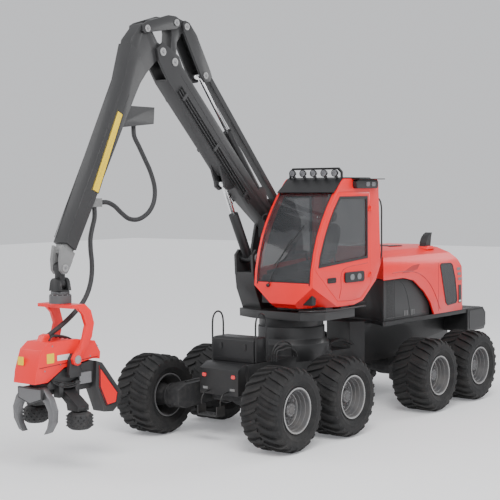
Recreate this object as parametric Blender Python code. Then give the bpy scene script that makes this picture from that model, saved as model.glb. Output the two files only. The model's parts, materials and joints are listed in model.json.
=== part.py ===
"""Eight-wheel forestry harvester: two bogie frames joined by a steering pivot, a slewing
platform with a cab beside a parallel crane, and a felling head that hangs from the jib.

Metres, +Z up, front towards -Y, left towards +X.  Every size below is in the machine's own
frame: x = 0 on the centre line, y = 0 at the front bogie, z = 0 on the ground.  The empty
named machine then moves everything back so that the origin lies under the middle of the box.
"""
import math

import bmesh
import bpy
from mathutils import Matrix, Vector

# ---------------------------------------------------------------- driving sizes
FIT = 0.0003              # gap between faces that rest on each other
SIDE_GAP = 0.005          # gap beside an eye in its fork
MID_Y = 1.215             # middle of the box, measured from the front bogie

TYRE_DIAMETER = 1.32
TYRE_WIDTH = 0.71
BEAD_RADIUS = 0.34
RIM_FLANGE_RADIUS = 0.361
TRACK = 2.617             # between the middles of the left and right tyres
BOGIE_SPACING = 1.554     # between the two wheels of one bogie
BOGIE_TO_BOGIE = 4.416
TYRE_SIDES = 32
RIM_SIDES = 16            # half of the tyre's, so that the corners meet

BOGIE_IN = 0.64           # bogie beam's inner and outer faces, from the centre line
BOGIE_OUT = 0.92
AXLE_RADIUS = 0.20

FRAME_HALF = 0.45
FRAME_LOW = 0.87
FRAME_TOP = 1.235
STEER_Y = 2.20            # steering pivot between the two frames
STEER_PIN = 0.07
DECK_TOP = 1.65           # top of the rear frame's deck
DECK_HALF = 0.93
REAR_END = 6.72

SLEW_Y = 1.30             # slewing axis, on the centre line
PEDESTAL_TOP = 1.70
PLATFORM_TOP = 1.98
HOOD_ARC = 1.10           # concave front of the hood, about the steering pivot
HOOD_HALF = 0.95
HOOD_WALL = 0.04
HOOD_HINGE_Y = 6.05

CAB_LEFT = 1.00           # outer faces of the cab
CAB_RIGHT = -0.20
CAB_WALL = 0.05
CAB_FLOOR = 2.06
CAB_ROOF = 4.22
DOOR_GAP = 0.005
GLASS = 0.010
HINGE_X = 1.022           # door's hinge line, just outside the cab
HINGE_Y = 2.2725
HINGE_HEIGHTS = (2.55, 3.70)
HINGE_RADIUS = 0.014
HINGE_HALF = 0.045

CRANE_X = -0.61           # middle plane of the crane and head
BOOM_HALF = 0.15
FORK_HALF = 0.11          # inner faces of forks, from the middle plane
PIN = 0.04
PIN_SIDES = 16
PLAY = 0.0001             # least gap between a pin's corner and its bore's flat

# pins of the crane, as (y, z) in its middle plane
BOOM_FOOT = (1.48, 3.45)
KNUCKLE = (-1.445, 6.213)
ROCKER_FOOT = (-1.164, 6.073)
ROCKER_FRONT = (-1.112, 6.700)
ROCKER_REAR = (-0.865, 6.659)
JIB_TOP = (-1.796, 6.544)
BAR_EYE = (-0.406, 5.910)
BAR_FOOT = (1.78, 3.72)
JIB_CYL_FOOT = (1.16, 4.00)
LIFT_FOOT = (0.88, 2.86)
LIFT_HEAD = (0.20, 4.15)
TIP = (-3.57, 2.93)
CROSS_Z = 2.70            # lower pin of the hanging link, along Y
ROTOR_Z = 2.535           # rotator's turning face
TILT = (-3.58, 1.62)      # head's tilt pins
KNIFE_PIVOT = (0.16, 1.20)   # from the middle plane, and height
ARM_PIVOT = (0.20, 1.14)
ROLLER = (0.46, -3.66)    # roller's axis from the middle plane, and its y

JIB_DIRECTION = Vector((0, -0.4872, -0.8733))   # along the jib, downwards
HOSE_RADIUS = 0.036


# ---------------------------------------------------------------- materials
def finish(name, colour, roughness, metallic=0.0, alpha=1.0):
    material = bpy.data.materials.new(name)
    material.use_nodes = True
    shader = material.node_tree.nodes["Principled BSDF"]
    shader.inputs["Base Color"].default_value = (*colour, 1.0)
    shader.inputs["Roughness"].default_value = roughness
    shader.inputs["Metallic"].default_value = metallic
    shader.inputs["Alpha"].default_value = alpha
    material.diffuse_color = (*colour, alpha)
    return material


# ---------------------------------------------------------------- shapes, as bmesh
def prism(axis, profile, low, high):
    """A flat outline pushed along X, Y or Z.  The outline is in the other two axes, in order."""
    place = {
        "X": lambda a, b, t: (t, a, b),
        "Y": lambda a, b, t: (a, t, b),
        "Z": lambda a, b, t: (a, b, t),
    }[axis]
    mesh = bmesh.new()
    near = [mesh.verts.new(place(a, b, low)) for a, b in profile]
    far = [mesh.verts.new(place(a, b, high)) for a, b in profile]
    mesh.faces.new(near)
    mesh.faces.new(far)
    for i in range(len(profile)):
        j = (i + 1) % len(profile)
        mesh.faces.new((near[i], near[j], far[j], far[i]))
    bmesh.ops.recalc_face_normals(mesh, faces=mesh.faces)
    return mesh


def box(low, high):
    (x0, y0, z0), (x1, y1, z1) = low, high
    return prism("Z", [(x0, y0), (x1, y0), (x1, y1), (x0, y1)], z0, z1)


def circle(centre, radius, sides=PIN_SIDES, phase=0.5):
    return [
        (
            centre[0] + radius * math.cos((i + phase) * math.tau / sides),
            centre[1] + radius * math.sin((i + phase) * math.tau / sides),
        )
        for i in range(sides)
    ]


def arc(centre, radius, start, end, steps):
    """Points of an arc in its plane, angles in degrees."""
    return [
        (
            centre[0] + radius * math.cos(math.radians(start + (end - start) * i / steps)),
            centre[1] + radius * math.sin(math.radians(start + (end - start) * i / steps)),
        )
        for i in range(steps + 1)
    ]


def cross_bar(centre, radius, half, sides=PIN_SIDES):
    """A round bar along X through a pin of the crane, centred on its middle plane."""
    return prism("X", circle(centre, radius, sides), CRANE_X - half, CRANE_X + half)


def bore(centre, half):
    """The hole for a pin, with its flats clear of the pin's corners."""
    return cross_bar(centre, PIN / math.cos(math.pi / PIN_SIDES) + PLAY, half)


def turned(profile, axis, centre, sides, phase=0.5):
    """A profile of (radius, height) turned about an axis through centre.

    It is a ring if no radius is 0, else it starts and ends on the axis."""
    mesh = bmesh.new()
    across, up = {"X": ((1, 2), 0), "Y": ((0, 2), 1), "Z": ((0, 1), 2)}[axis]

    def point(radius, height, turn):
        spot = list(centre)
        spot[across[0]] += radius * math.cos(turn)
        spot[across[1]] += radius * math.sin(turn)
        spot[up] += height
        return mesh.verts.new(spot)

    rings = []
    for radius, height in profile:
        if radius == 0:
            rings.append([point(0, height, 0)] * sides)
        else:
            turns = [(i + phase) * math.tau / sides for i in range(sides)]
            rings.append([point(radius, height, turn) for turn in turns])
    closed = all(radius > 0 for radius, _ in profile)
    for k in range(len(rings) if closed else len(rings) - 1):
        low, high = rings[k], rings[(k + 1) % len(rings)]
        for i in range(sides):
            j = (i + 1) % sides
            corners = []
            for corner in (low[i], low[j], high[j], high[i]):
                if corner not in corners:
                    corners.append(corner)
            if len(corners) > 2:
                mesh.faces.new(corners)
    bmesh.ops.recalc_face_normals(mesh, faces=mesh.faces)
    return mesh


def strut(start, end, radius, sides=PIN_SIDES):
    """A round bar between two (y, z) points of the crane's middle plane."""
    along = Vector((0, end[0] - start[0], end[1] - start[1]))
    mesh = bmesh.new()
    turn = Vector((0, 0, 1)).rotation_difference(along.normalized()).to_matrix().to_4x4()
    middle = Vector((CRANE_X, (start[0] + end[0]) / 2, (start[1] + end[1]) / 2))
    bmesh.ops.create_cone(
        mesh,
        cap_ends=True,
        segments=sides,
        radius1=radius,
        radius2=radius,
        depth=along.length,
        matrix=Matrix.Translation(middle) @ turn,
    )
    return mesh


def merged(*meshes):
    """Shapes that don't touch, as one tool for a Boolean."""
    whole = bmesh.new()
    for mesh in meshes:
        data = bpy.data.meshes.new("tool_part")
        mesh.to_mesh(data)
        whole.from_mesh(data)
        bpy.data.meshes.remove(data)
    return whole


def inset(profile, distance):
    """An outline moved inwards by a distance, each side kept parallel to itself."""
    count = len(profile)
    area = sum(
        profile[i][0] * profile[(i + 1) % count][1] - profile[(i + 1) % count][0] * profile[i][1]
        for i in range(count)
    )
    side = 1 if area > 0 else -1
    lines = []
    for i in range(count):
        a, b = Vector(profile[i]), Vector(profile[(i + 1) % count])
        along = (b - a).normalized()
        inward = Vector((-along.y, along.x)) * side
        lines.append((a + inward * distance, along))
    moved = []
    for i in range(count):
        (p, u), (q, v) = lines[i - 1], lines[i]
        turn = u.x * v.y - u.y * v.x
        if abs(turn) < 1e-6:
            moved.append((q.x, q.y))
        else:
            t = ((q.x - p.x) * v.y - (q.y - p.y) * v.x) / turn
            moved.append((p.x + u.x * t, p.y + u.y * t))
    return moved


# ---------------------------------------------------------------- objects
bodies = {}


def body(name, pivot, parent=None):
    """An empty on the joint's axis that carries the pieces of one moving body."""
    empty = bpy.data.objects.new(name + "_axis", None)
    bpy.context.scene.collection.objects.link(empty)
    empty.empty_display_size = 0.3
    if parent:
        carrier, origin = bodies[parent]
        empty.parent = carrier
        empty.location = Vector(pivot) - origin
    else:
        empty.location = Vector(pivot)
    bodies[name] = (empty, Vector(pivot))
    return name


def placed(name, mesh, carrier):
    """One object whose mesh, given in machine coordinates, hangs from its body's empty."""
    empty, origin = bodies[carrier]
    data = bpy.data.meshes.new(name)
    bmesh.ops.translate(mesh, vec=-origin, verts=mesh.verts)
    mesh.to_mesh(data)
    mesh.free()
    item = bpy.data.objects.new(name, data)
    bpy.context.scene.collection.objects.link(item)
    item.parent = empty
    return item


def tool(name, mesh, carrier):
    item = placed(name, mesh, carrier)
    item.hide_render = True
    item.display_type = "WIRE"
    return item


def boolean(item, cutter, operation):
    modifier = item.modifiers.new(cutter.name, "BOOLEAN")
    modifier.operation = operation
    modifier.solver = "EXACT"
    modifier.object = cutter
    return modifier


def solid(name, mesh, carrier, material, join=(), cut=(), keep=()):
    """A named piece: a base shape, shapes joined to it, limits it is kept within, and cuts."""
    item = placed(name, mesh, carrier)
    item.data.materials.append(material)
    for kind, operation, shapes in (
        ("join", "UNION", join), ("keep", "INTERSECT", keep), ("cut", "DIFFERENCE", cut)
    ):
        for count, shape in enumerate(shapes):
            helper = shape
            if not isinstance(shape, bpy.types.Object):
                helper = tool(f"{name}_{kind}_{count}", shape, carrier)
            boolean(item, helper, operation)
    return item


def shade_round(item, degrees=35):
    item.data.shade_smooth()
    item.data.set_sharp_from_angle(angle=math.radians(degrees))
    return item


# ---------------------------------------------------------------- wheels, bogies, axles
def wheel(name, side, y, parent):
    """One tyre on its rim; side is 1 on the left and -1 on the right."""
    centre = (side * TRACK / 2, y, TYRE_DIAMETER / 2)
    carrier = body("wheel_" + name, centre, parent)
    half = TYRE_WIDTH / 2
    tread = TYRE_DIAMETER / 2 / math.cos(math.pi / TYRE_SIDES)
    right = [
        (BEAD_RADIUS, half - 0.085), (BEAD_RADIUS + 0.08, half - 0.02), (0.56, half),
        (tread - 0.016, half - 0.035), (tread, half - 0.115),
    ]
    tyre = right + [(radius, -offset) for radius, offset in reversed(right)]
    phase = 0.5
    solid("tyre_" + name, turned(tyre, "X", centre, TYRE_SIDES, phase), carrier, RUBBER)

    seat, edge = BEAD_RADIUS - FIT, half - 0.085 + FIT
    slope = (0.065 / 0.08) * (RIM_FLANGE_RADIUS - seat)
    face = 0.31
    rim = [
        (0, 0.10), (0.27, 0.10), (0.33, face), (RIM_FLANGE_RADIUS, face),
        (RIM_FLANGE_RADIUS, edge + slope), (seat, edge), (seat, -edge),
        (RIM_FLANGE_RADIUS, -edge - slope), (RIM_FLANGE_RADIUS, -face), (0.33, -face),
        (0.25, 0.02), (0, 0.02),
    ]
    rim = [(radius, side * offset) for radius, offset in rim]
    turn = phase * RIM_SIDES / TYRE_SIDES
    shade_round(solid("rim_" + name, turned(rim, "X", centre, RIM_SIDES, turn), carrier, RIM))


def bogie(name, side, y, carrier):
    """The box beam between two wheels, with a tapered hub reaching into each rim."""
    z = TYRE_DIAMETER / 2
    reach = BOGIE_SPACING / 2
    upper = [(-reach - 0.17, 0.12), (-reach, 0.20), (-0.30, 0.21)]
    lower = [(-reach - 0.17, -0.12), (-reach, -0.19), (-0.30, -0.16)]
    outline = upper + [(-a, b) for a, b in reversed(upper)]
    outline += [(-a, b) for a, b in lower] + list(reversed(lower))
    outline = [(y + a, z + b) for a, b in outline]
    beam = prism("X", outline, side * BOGIE_IN, side * BOGIE_OUT)
    hub_face = TRACK / 2 + 0.02 - FIT
    hub = [(0, -0.05), (0.15, -0.05), (0.15, 0.06), (0.24, hub_face - BOGIE_OUT), (0, hub_face - BOGIE_OUT)]
    hub = [(radius, side * offset) for radius, offset in hub]
    hubs = [
        turned(hub, "X", (side * BOGIE_OUT, y + place, z), 12)
        for place in (-reach, reach)
    ]
    solid("bogie_" + name, beam, carrier, CAST, join=[merged(*hubs)])


def axle(name, y, carrier):
    """The tube between two bogies with its differential housing."""
    z = TYRE_DIAMETER / 2
    end = BOGIE_IN - FIT
    tube = prism("X", circle((y, z), 0.15, 12), -end, end)
    housing = turned(
        [(0, -0.30), (0.13, -0.30), (AXLE_RADIUS, -0.12), (AXLE_RADIUS, 0.12), (0.13, 0.30), (0, 0.30)],
        "X", (0, y, z), 12, 0,
    )
    saddle = box((-0.36, y - 0.16, z), (0.36, y + 0.16, FRAME_LOW - FIT))
    solid(name, tube, carrier, CAST, join=[housing, saddle])


# ---------------------------------------------------------------- front frame
def front_frame():
    carrier = body("front_frame", (0, 0, 0), "machine")
    beam = box((-FRAME_HALF, -0.50, FRAME_LOW), (FRAME_HALF, STEER_Y - 0.32, FRAME_TOP))
    nose = prism(
        "X",
        [(-0.70, 0.74), (-0.70, 1.16), (-0.55, FRAME_TOP), (-0.30, FRAME_TOP), (-0.30, FRAME_LOW), (-0.52, 0.74)],
        -0.40, 0.40,
    )
    pedestal = turned(
        [(0, FRAME_TOP - 0.1), (0.66, FRAME_TOP - 0.1), (0.66, 1.42), (0.58, 1.50), (0.58, PEDESTAL_TOP), (0, PEDESTAL_TOP)],
        "Z", (0, SLEW_Y, 0), 24,
    )
    lug_outline = [(-0.30, STEER_Y - 0.45), (0.30, STEER_Y - 0.45)]
    lug_outline += arc((0, STEER_Y), 0.20, 0, 180, 8)
    lugs = [
        prism("Z", lug_outline, FRAME_LOW, FRAME_LOW + 0.08),
        prism("Z", lug_outline, FRAME_TOP - 0.08, FRAME_TOP),
    ]
    pin = prism("Z", circle((0, STEER_Y), STEER_PIN), FRAME_LOW + 0.02, FRAME_TOP - 0.02)
    solid("front_frame", beam, carrier, BLACK_STEEL, join=[nose, pedestal, merged(*lugs), pin])

    toolbox = [(-0.334, FRAME_TOP + FIT), (-0.334, 1.60), (-0.30, 1.63), (0.06, 1.63), (0.06, FRAME_TOP + FIT)]
    solid("front_toolbox", prism("X", toolbox, -0.425, 0.425), carrier, BLACK_STEEL)
    axle("front_axle", 0, carrier)
    for name, side in (("left", 1), ("right", -1)):
        bogie("front_" + name, side, 0, carrier)
        for place, y in (("fore", -BOGIE_SPACING / 2), ("aft", BOGIE_SPACING / 2)):
            wheel(f"front_{name}_{place}", side, y, "front_frame")


# ---------------------------------------------------------------- rear frame and hood
def rear_frame():
    carrier = body("rear_frame", (0, STEER_Y, 1.05), "front_frame")
    beam = prism(
        "Z",
        [(-0.25, 2.76), (0.25, 2.76), (0.42, 3.00), (0.42, 6.10), (-0.42, 6.10), (-0.42, 3.00)],
        FRAME_LOW, DECK_TOP - 0.02,
    )
    deck_front = STEER_Y + HOOD_ARC + 0.03
    deck = prism(
        "Z",
        arc((0, STEER_Y), HOOD_ARC + 0.01, 36, 144, 10)
        + [(-DECK_HALF, 2.90), (-DECK_HALF, 6.03), (DECK_HALF, 6.03), (DECK_HALF, 2.90)],
        DECK_TOP - 0.08, DECK_TOP,
    )
    tongue = [(0.30, deck_front - 0.35), (-0.30, deck_front - 0.35)] + arc((0, STEER_Y), 0.19, 180, 360, 8)
    tongue = prism("Z", tongue, FRAME_LOW + 0.08 + FIT, FRAME_TOP - 0.08 - FIT)
    bumper = prism(
        "X",
        [(5.95, 1.19), (5.95, 1.64), (6.60, 1.64), (REAR_END, 1.52), (REAR_END, 1.28), (6.64, 1.19)],
        -0.95, 0.95,
    )
    hinge_lugs = [box((x - 0.04, 6.0, 1.60), (x + 0.04, 6.10, 1.649)) for x in (-0.5, 0.5)]
    hole = prism("Z", circle((0, STEER_Y), STEER_PIN / math.cos(math.pi / PIN_SIDES) + PLAY), 0.5, 1.6)
    solid(
        "rear_frame", beam, carrier, BLACK_STEEL,
        join=[deck, bumper, tongue, merged(*hinge_lugs)], cut=[hole],
    )
    rear_y = BOGIE_TO_BOGIE
    axle("rear_axle", rear_y, carrier)
    for name, side in (("left", 1), ("right", -1)):
        bogie("rear_" + name, side, rear_y, carrier)
        for place, offset in (("fore", -BOGIE_SPACING / 2), ("aft", BOGIE_SPACING / 2)):
            wheel(f"rear_{name}_{place}", side, rear_y + offset, "rear_frame")

    low = DECK_TOP + FIT
    outer, sheet = 0.88, 0.03
    front = HOOD_ARC + 0.03
    start = math.degrees(math.acos(outer / front))
    bent = [(outer, 4.55)] + arc((0, STEER_Y), front, start, 180 - start, 12) + [(-outer, 4.55)]
    start = math.degrees(math.acos((outer - sheet) / (front + sheet)))
    inner = [(-outer + sheet, 4.55)] + arc((0, STEER_Y), front + sheet, 180 - start, start, 12)
    inner += [(outer - sheet, 4.55)]
    solid("engine_bay_panels", prism("Z", bent + inner, low, 2.39), carrier, GREY_STEEL)
    solid("engine_block", box((-0.38, 3.65, low), (0.38, 5.05, 2.50)), carrier, CAST)


def hood():
    carrier = body("hood", (0, HOOD_HINGE_Y, DECK_TOP + FIT), "rear_frame")
    low = DECK_TOP + FIT

    def section(half, top):
        side = [(half, 1.2), (half, top - 0.32), (half - 0.07, top - 0.16), (half - 0.25, top - 0.05), (half - 0.6, top)]
        return side + [(-a, b) for a, b in reversed(side)]

    rear_curve = [(4.90, 3.05), (5.20, 2.88), (5.50, 2.70), (5.76, 2.46), (5.92, 2.20), (5.99, 1.95), (6.03, low)]
    arch = [(4.62, low), (4.47, 1.90), (4.24, 2.11), (3.86, 2.34), (3.50, 2.41), (2.40, 2.40)]
    outer = prism("Y", section(HOOD_HALF, 2.96), 2.40, 6.03)
    outer_side = prism("X", [(2.40, 3.05)] + rear_curve + arch, -1.2, 1.2)
    plan = [(-1.2, 2.2), (1.2, 2.2), (1.2, 5.60), (0.95, 5.70), (0.86, 5.90), (0.66, 6.04)]
    plan += [(-a, b) for a, b in reversed(plan[3:])] + [(-1.2, 5.60)]
    wall = HOOD_WALL
    inner_half = HOOD_HALF - wall
    hollow = tool("hood_hollow", prism("Y", section(inner_half, 2.96 - wall), 2.30, 6.03 - wall), carrier)
    inner_curve = [(a - wall, b - wall) for a, b in rear_curve[:-1]] + [(6.03 - wall, 1.2)]
    front = turned(
        [(0, 1.0), (HOOD_ARC + 0.02 + wall, 1.0), (HOOD_ARC + 0.02 + wall, 3.4), (0, 3.4)],
        "Z", (0, STEER_Y, 0), 64,
    )
    plan_inner = [(a - math.copysign(wall, a), b - wall) for a, b in plan]
    boolean(hollow, tool("hood_hollow_side", prism("X", [(2.30, 3.05)] + inner_curve + [(2.30, 1.2)], -1.1, 1.1), carrier), "INTERSECT")
    boolean(hollow, tool("hood_hollow_plan", prism("Z", plan_inner, 1.0, 3.2), carrier), "INTERSECT")
    boolean(hollow, tool("hood_hollow_front", front, carrier), "DIFFERENCE")
    sweep = turned(
        [(0, 1.0), (HOOD_ARC + 0.02, 1.0), (HOOD_ARC + 0.02, 3.4), (0, 3.4)],
        "Z", (0, STEER_Y, 0), 64,
    )
    stack = prism(
        "X",
        [(4.64, 2.86), (4.64, 3.00), (4.71, 3.11), (4.86, 3.19), (4.82, 3.05), (4.80, 2.86)],
        0.62, 0.76,
    )
    item = solid(
        "engine_hood", outer, carrier, RED,
        keep=[outer_side, prism("Z", plan, 1.0, 3.2)], cut=[sweep, hollow],
    )
    boolean(item, tool("engine_hood_stack", stack, carrier), "UNION")


# ---------------------------------------------------------------- slewing platform and cab
PILLAR = [
    (0.52, 2.46), (0.54, 2.68), (0.62, 2.99), (0.72, 3.26), (0.85, 3.50),
    (1.01, 3.74), (1.17, 3.94), (1.39, 4.17),
]   # outer curve of the cab's front, (y, z)
DOOR_OUTLINE = [
    (0.61, 2.70), (0.66, 2.93), (0.78, 3.23), (0.91, 3.47), (1.07, 3.73), (1.24, 3.94), (1.30, 3.99),
    (2.27, 3.99), (2.27, 2.38), (1.98, 2.17), (1.74, 2.14), (1.26, 2.16),
]
SIDE_GLASS = [(0.69, 2.74), (0.74, 2.95), (0.87, 3.24), (0.99, 3.46), (1.15, 3.70), (1.33, 3.92), (2.20, 3.92), (2.20, 2.84)]


def front_curve(z, depth=0.0):
    """The y of the cab's front at a height, moved back by a depth."""
    for (y0, z0), (y1, z1) in zip(PILLAR, PILLAR[1:]):
        if z <= z1:
            return y0 + (y1 - y0) * (z - z0) / (z1 - z0) + depth
    return PILLAR[-1][0] + depth


def platform():
    carrier = body("platform", (0, SLEW_Y, PEDESTAL_TOP), "front_frame")
    ring = turned(
        [(0, PEDESTAL_TOP + FIT), (0.56, PEDESTAL_TOP + FIT), (0.56, 1.86), (0, 1.86)], "Z", (0, SLEW_Y, 0), 24,
    )
    plate = prism(
        "Z", [(-0.84, 0.92), (-0.84, 2.20), (0.60, 2.20), (0.92, 1.90), (0.92, 1.00), (0.60, 0.72), (-0.40, 0.72)],
        1.84, PLATFORM_TOP,
    )
    base_half = BOOM_HALF + SIDE_GAP + 0.05
    block = prism(
        "X",
        [(1.02, 1.88), (0.80, 2.34), (0.76, 2.62), (2.24, 2.62), (2.24, 1.88)],
        CRANE_X - base_half, CRANE_X + base_half,
    )
    cheek = [
        (0.76, 2.58), (0.74, 2.92), (0.84, 3.01), (0.97, 2.98), (1.16, 2.86), (1.28, 3.30), (1.36, 3.58), (1.52, 3.64),
        (1.68, 3.88), (1.94, 3.86), (2.16, 3.50), (2.24, 3.10), (2.24, 2.58),
    ]
    cheeks = [
        prism("X", cheek, CRANE_X + side * base_half, CRANE_X + side * (BOOM_HALF + SIDE_GAP))
        for side in (-1, 1)
    ]
    pins = [cross_bar(spot, PIN, base_half - 0.01) for spot in (BOOM_FOOT, LIFT_FOOT)]
    legs = [box((-0.12, 1.05, 1.9), (0.90, 1.25, CAB_FLOOR - FIT)), box((-0.12, 1.50, 1.9), (0.90, 1.72, CAB_FLOOR - FIT))]
    solid(
        "crane_platform", plate, carrier, GREY_STEEL,
        join=[ring, block, merged(*cheeks), merged(*pins), merged(*legs)],
    )


def corner_cut(x_side, x_middle, depth):
    """The sloping facet at a lower front corner of the cab, as a plane moved inwards by depth."""
    a = Vector((x_side, 0.50, 2.44))
    b = Vector((x_side, 1.25, CAB_FLOOR))
    c = Vector((x_middle, 0.50, CAB_FLOOR))
    normal = (b - a).cross(c - a).normalized()
    inside = Vector(((CAB_LEFT + CAB_RIGHT) / 2, 1.6, 3.0))
    if normal.dot(inside - a) > 0:
        normal = -normal
    return a - normal * depth, normal


def cab_form(profile, left, right, depth):
    mesh = prism("X", profile, right, left)
    for x_side, x_middle in ((CAB_LEFT, 0.56), (CAB_RIGHT, 0.24)):
        spot, normal = corner_cut(x_side, x_middle, depth)
        geometry = mesh.verts[:] + mesh.edges[:] + mesh.faces[:]
        bmesh.ops.bisect_plane(mesh, geom=geometry, plane_co=spot, plane_no=normal, clear_outer=True)
        bmesh.ops.holes_fill(mesh, edges=[edge for edge in mesh.edges if edge.is_boundary])
    bmesh.ops.recalc_face_normals(mesh, faces=mesh.faces)
    return mesh


def cab():
    carrier = "platform"
    outer = [(0.62, CAB_FLOOR), (0.50, 2.14)] + PILLAR + [
        (1.46, CAB_ROOF), (2.50, CAB_ROOF), (2.55, 4.17), (2.61, 2.86), (2.62, 2.72), (2.46, 2.44),
        (2.03, 2.12), (1.75, CAB_FLOOR),
    ]
    inner = inset(outer, CAB_WALL)
    shell = cab_form(outer, CAB_LEFT, CAB_RIGHT, 0)
    hollow = cab_form(inner, CAB_LEFT - CAB_WALL, CAB_RIGHT + CAB_WALL, CAB_WALL)

    doorway = inset(DOOR_OUTLINE, -DOOR_GAP)
    screen_low, screen_high, frame = 2.50, 4.08, 0.07
    screen_left, screen_right = CAB_LEFT - frame, CAB_RIGHT + frame
    rear_low, rear_high, rear_frame_width = 3.02, 3.95, 0.12
    openings = merged(
        prism("X", doorway, CAB_LEFT - CAB_WALL - 0.02, CAB_LEFT + 0.1),
        prism("X", SIDE_GLASS, CAB_RIGHT - 0.1, CAB_RIGHT + CAB_WALL + 0.02),
        box((CAB_RIGHT + rear_frame_width, 2.35, rear_low), (CAB_LEFT - rear_frame_width, 2.9, rear_high)),
    )
    edge = [(front_curve(z, -0.3), z) for _, z in PILLAR if screen_low < z < screen_high]
    edge = [(front_curve(screen_low, -0.3), screen_low)] + edge + [(front_curve(screen_high, -0.3), screen_high)]
    back = [(front_curve(z, 0.12), z) for _, z in edge[::-1]]
    screen_cut = prism("X", edge + back, screen_right, screen_left)
    solid("cab_shell", shell, carrier, RED, cut=[hollow, openings, screen_cut])

    for knuckle in hinge(1):
        boolean(bpy.data.objects["cab_shell"], tool("cab_shell_hinge", knuckle, carrier), "UNION")

    heights = [screen_low + FIT] + [z for _, z in PILLAR if screen_low < z < screen_high] + [screen_high - FIT]
    sheet = [(front_curve(z, 0.012), z) for z in heights]
    sheet += [(front_curve(z, 0.012 + GLASS * 1.3), z) for z in heights[::-1]]
    solid("windscreen", prism("X", sheet, screen_right + FIT, screen_left - FIT), carrier, TINTED)
    pane = inset(SIDE_GLASS, FIT)
    solid("right_window", prism("X", pane, CAB_RIGHT + 0.012, CAB_RIGHT + 0.012 + GLASS), carrier, TINTED)

    def rear_wall(z, depth):
        return 2.55 + (2.61 - 2.55) * (4.17 - z) / (4.17 - 2.86) - depth

    low, high = rear_low + FIT, rear_high - FIT
    pane = [(rear_wall(low, 0.012), low), (rear_wall(high, 0.012), high)]
    pane += [(rear_wall(high, 0.012 + GLASS), high), (rear_wall(low, 0.012 + GLASS), low)]
    inset_x = rear_frame_width + FIT
    solid("rear_window", prism("X", pane, CAB_RIGHT + inset_x, CAB_LEFT - inset_x), carrier, TINTED)

    floor = CAB_FLOOR + CAB_WALL + FIT
    seat = [
        (1.32, floor), (1.66, floor), (1.72, 2.62), (2.00, 3.38), (1.97, 3.66), (1.87, 3.66), (1.83, 3.42),
        (1.60, 2.86), (1.18, 2.82), (1.15, 2.70), (1.32, 2.62),
    ]
    solid("operator_seat", prism("X", seat, 0.13, 0.67), carrier, FABRIC)

    low = CAB_ROOF + FIT
    left, right = CAB_LEFT - 0.05, CAB_RIGHT + 0.05
    rail = [
        (left, low), (left, low + 0.12), (left - 0.07, low + 0.19), (right + 0.07, low + 0.19), (right, low + 0.12),
        (right, low), (right + 0.03, low), (right + 0.03, low + 0.10), (right + 0.09, low + 0.155),
        (left - 0.09, low + 0.155), (left - 0.03, low + 0.10), (left - 0.03, low),
    ]
    solid("roof_light_rail", prism("Y", rail, 1.47, 1.51), carrier, BLACK_STEEL)


def hinge(side):
    """Half of each hinge: side 1 is the cab's upper knuckle, -1 the door's lower one."""
    halves = []
    for height in HINGE_HEIGHTS:
        low, high = sorted((height + side * FIT, height + side * HINGE_HALF))
        barrel = prism("Z", circle((HINGE_X, HINGE_Y), HINGE_RADIUS), low, high)
        near, far = sorted((HINGE_Y + side * 0.003, HINGE_Y + side * 0.05))
        halves.append(barrel)
        halves.append(box((CAB_LEFT - 0.02, near, low), (HINGE_X - 0.002, far, high)))
    return halves


def door():
    carrier = body("door", (HINGE_X, HINGE_Y, 3.0), "platform")
    inner_face = CAB_LEFT - CAB_WALL
    leaf = prism("X", DOOR_OUTLINE, inner_face, CAB_LEFT)
    for x_side, x_middle in ((CAB_LEFT, 0.56),):
        spot, normal = corner_cut(x_side, x_middle, 0)
        geometry = leaf.verts[:] + leaf.edges[:] + leaf.faces[:]
        bmesh.ops.bisect_plane(leaf, geom=geometry, plane_co=spot, plane_no=normal, clear_outer=True)
        bmesh.ops.holes_fill(leaf, edges=[edge for edge in leaf.edges if edge.is_boundary])
    bmesh.ops.recalc_face_normals(leaf, faces=leaf.faces)
    window = prism("X", SIDE_GLASS, inner_face - 0.1, CAB_LEFT + 0.1)
    solid("cab_door", leaf, carrier, RED, join=hinge(-1), cut=[window])
    pane = inset(SIDE_GLASS, FIT)
    solid("door_glass", prism("X", pane, CAB_LEFT - 0.012 - GLASS, CAB_LEFT - 0.012), carrier, TINTED)


# ---------------------------------------------------------------- crane
def toward(start, end, distance):
    """The point a distance along the line from one pin to another."""
    a, b = Vector(start), Vector(end)
    spot = a + (b - a).normalized() * distance
    return (spot.x, spot.y)


def plates(outline, inner, outer):
    """Two like plates on both sides of the middle plane."""
    return merged(*[prism("X", outline, CRANE_X + side * inner, CRANE_X + side * outer) for side in (-1, 1)])


def cylinder(name, foot, eye, barrel_radius, rod_radius, barrel_end, bore_start, rod_length, foot_half, eye_half, barrel_body, rod_body):
    """A hydraulic cylinder: a barrel with a blind bore, and its rod with an eye."""
    barrel = strut(toward(foot, eye, 0.04), toward(foot, eye, barrel_end), barrel_radius)
    foot_tube = cross_bar(foot, barrel_radius * 0.85, foot_half)
    well = strut(toward(foot, eye, bore_start), toward(foot, eye, barrel_end + 0.1), rod_radius + FIT)
    solid(name + "_barrel", barrel, barrel_body, BLACK_STEEL, join=[foot_tube], cut=[bore(foot, foot_half + 0.05), well])
    eye_radius = rod_radius * 1.35
    shaft = strut(toward(eye, foot, rod_length), toward(eye, foot, eye_radius * 0.5), rod_radius)
    eye_tube = cross_bar(eye, eye_radius, eye_half)
    hole = cross_bar(eye, rod_radius * 0.55, eye_half + 0.05)
    shade_round(solid(name + "_rod", shaft, rod_body, CHROME, join=[eye_tube], cut=[hole]))


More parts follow.
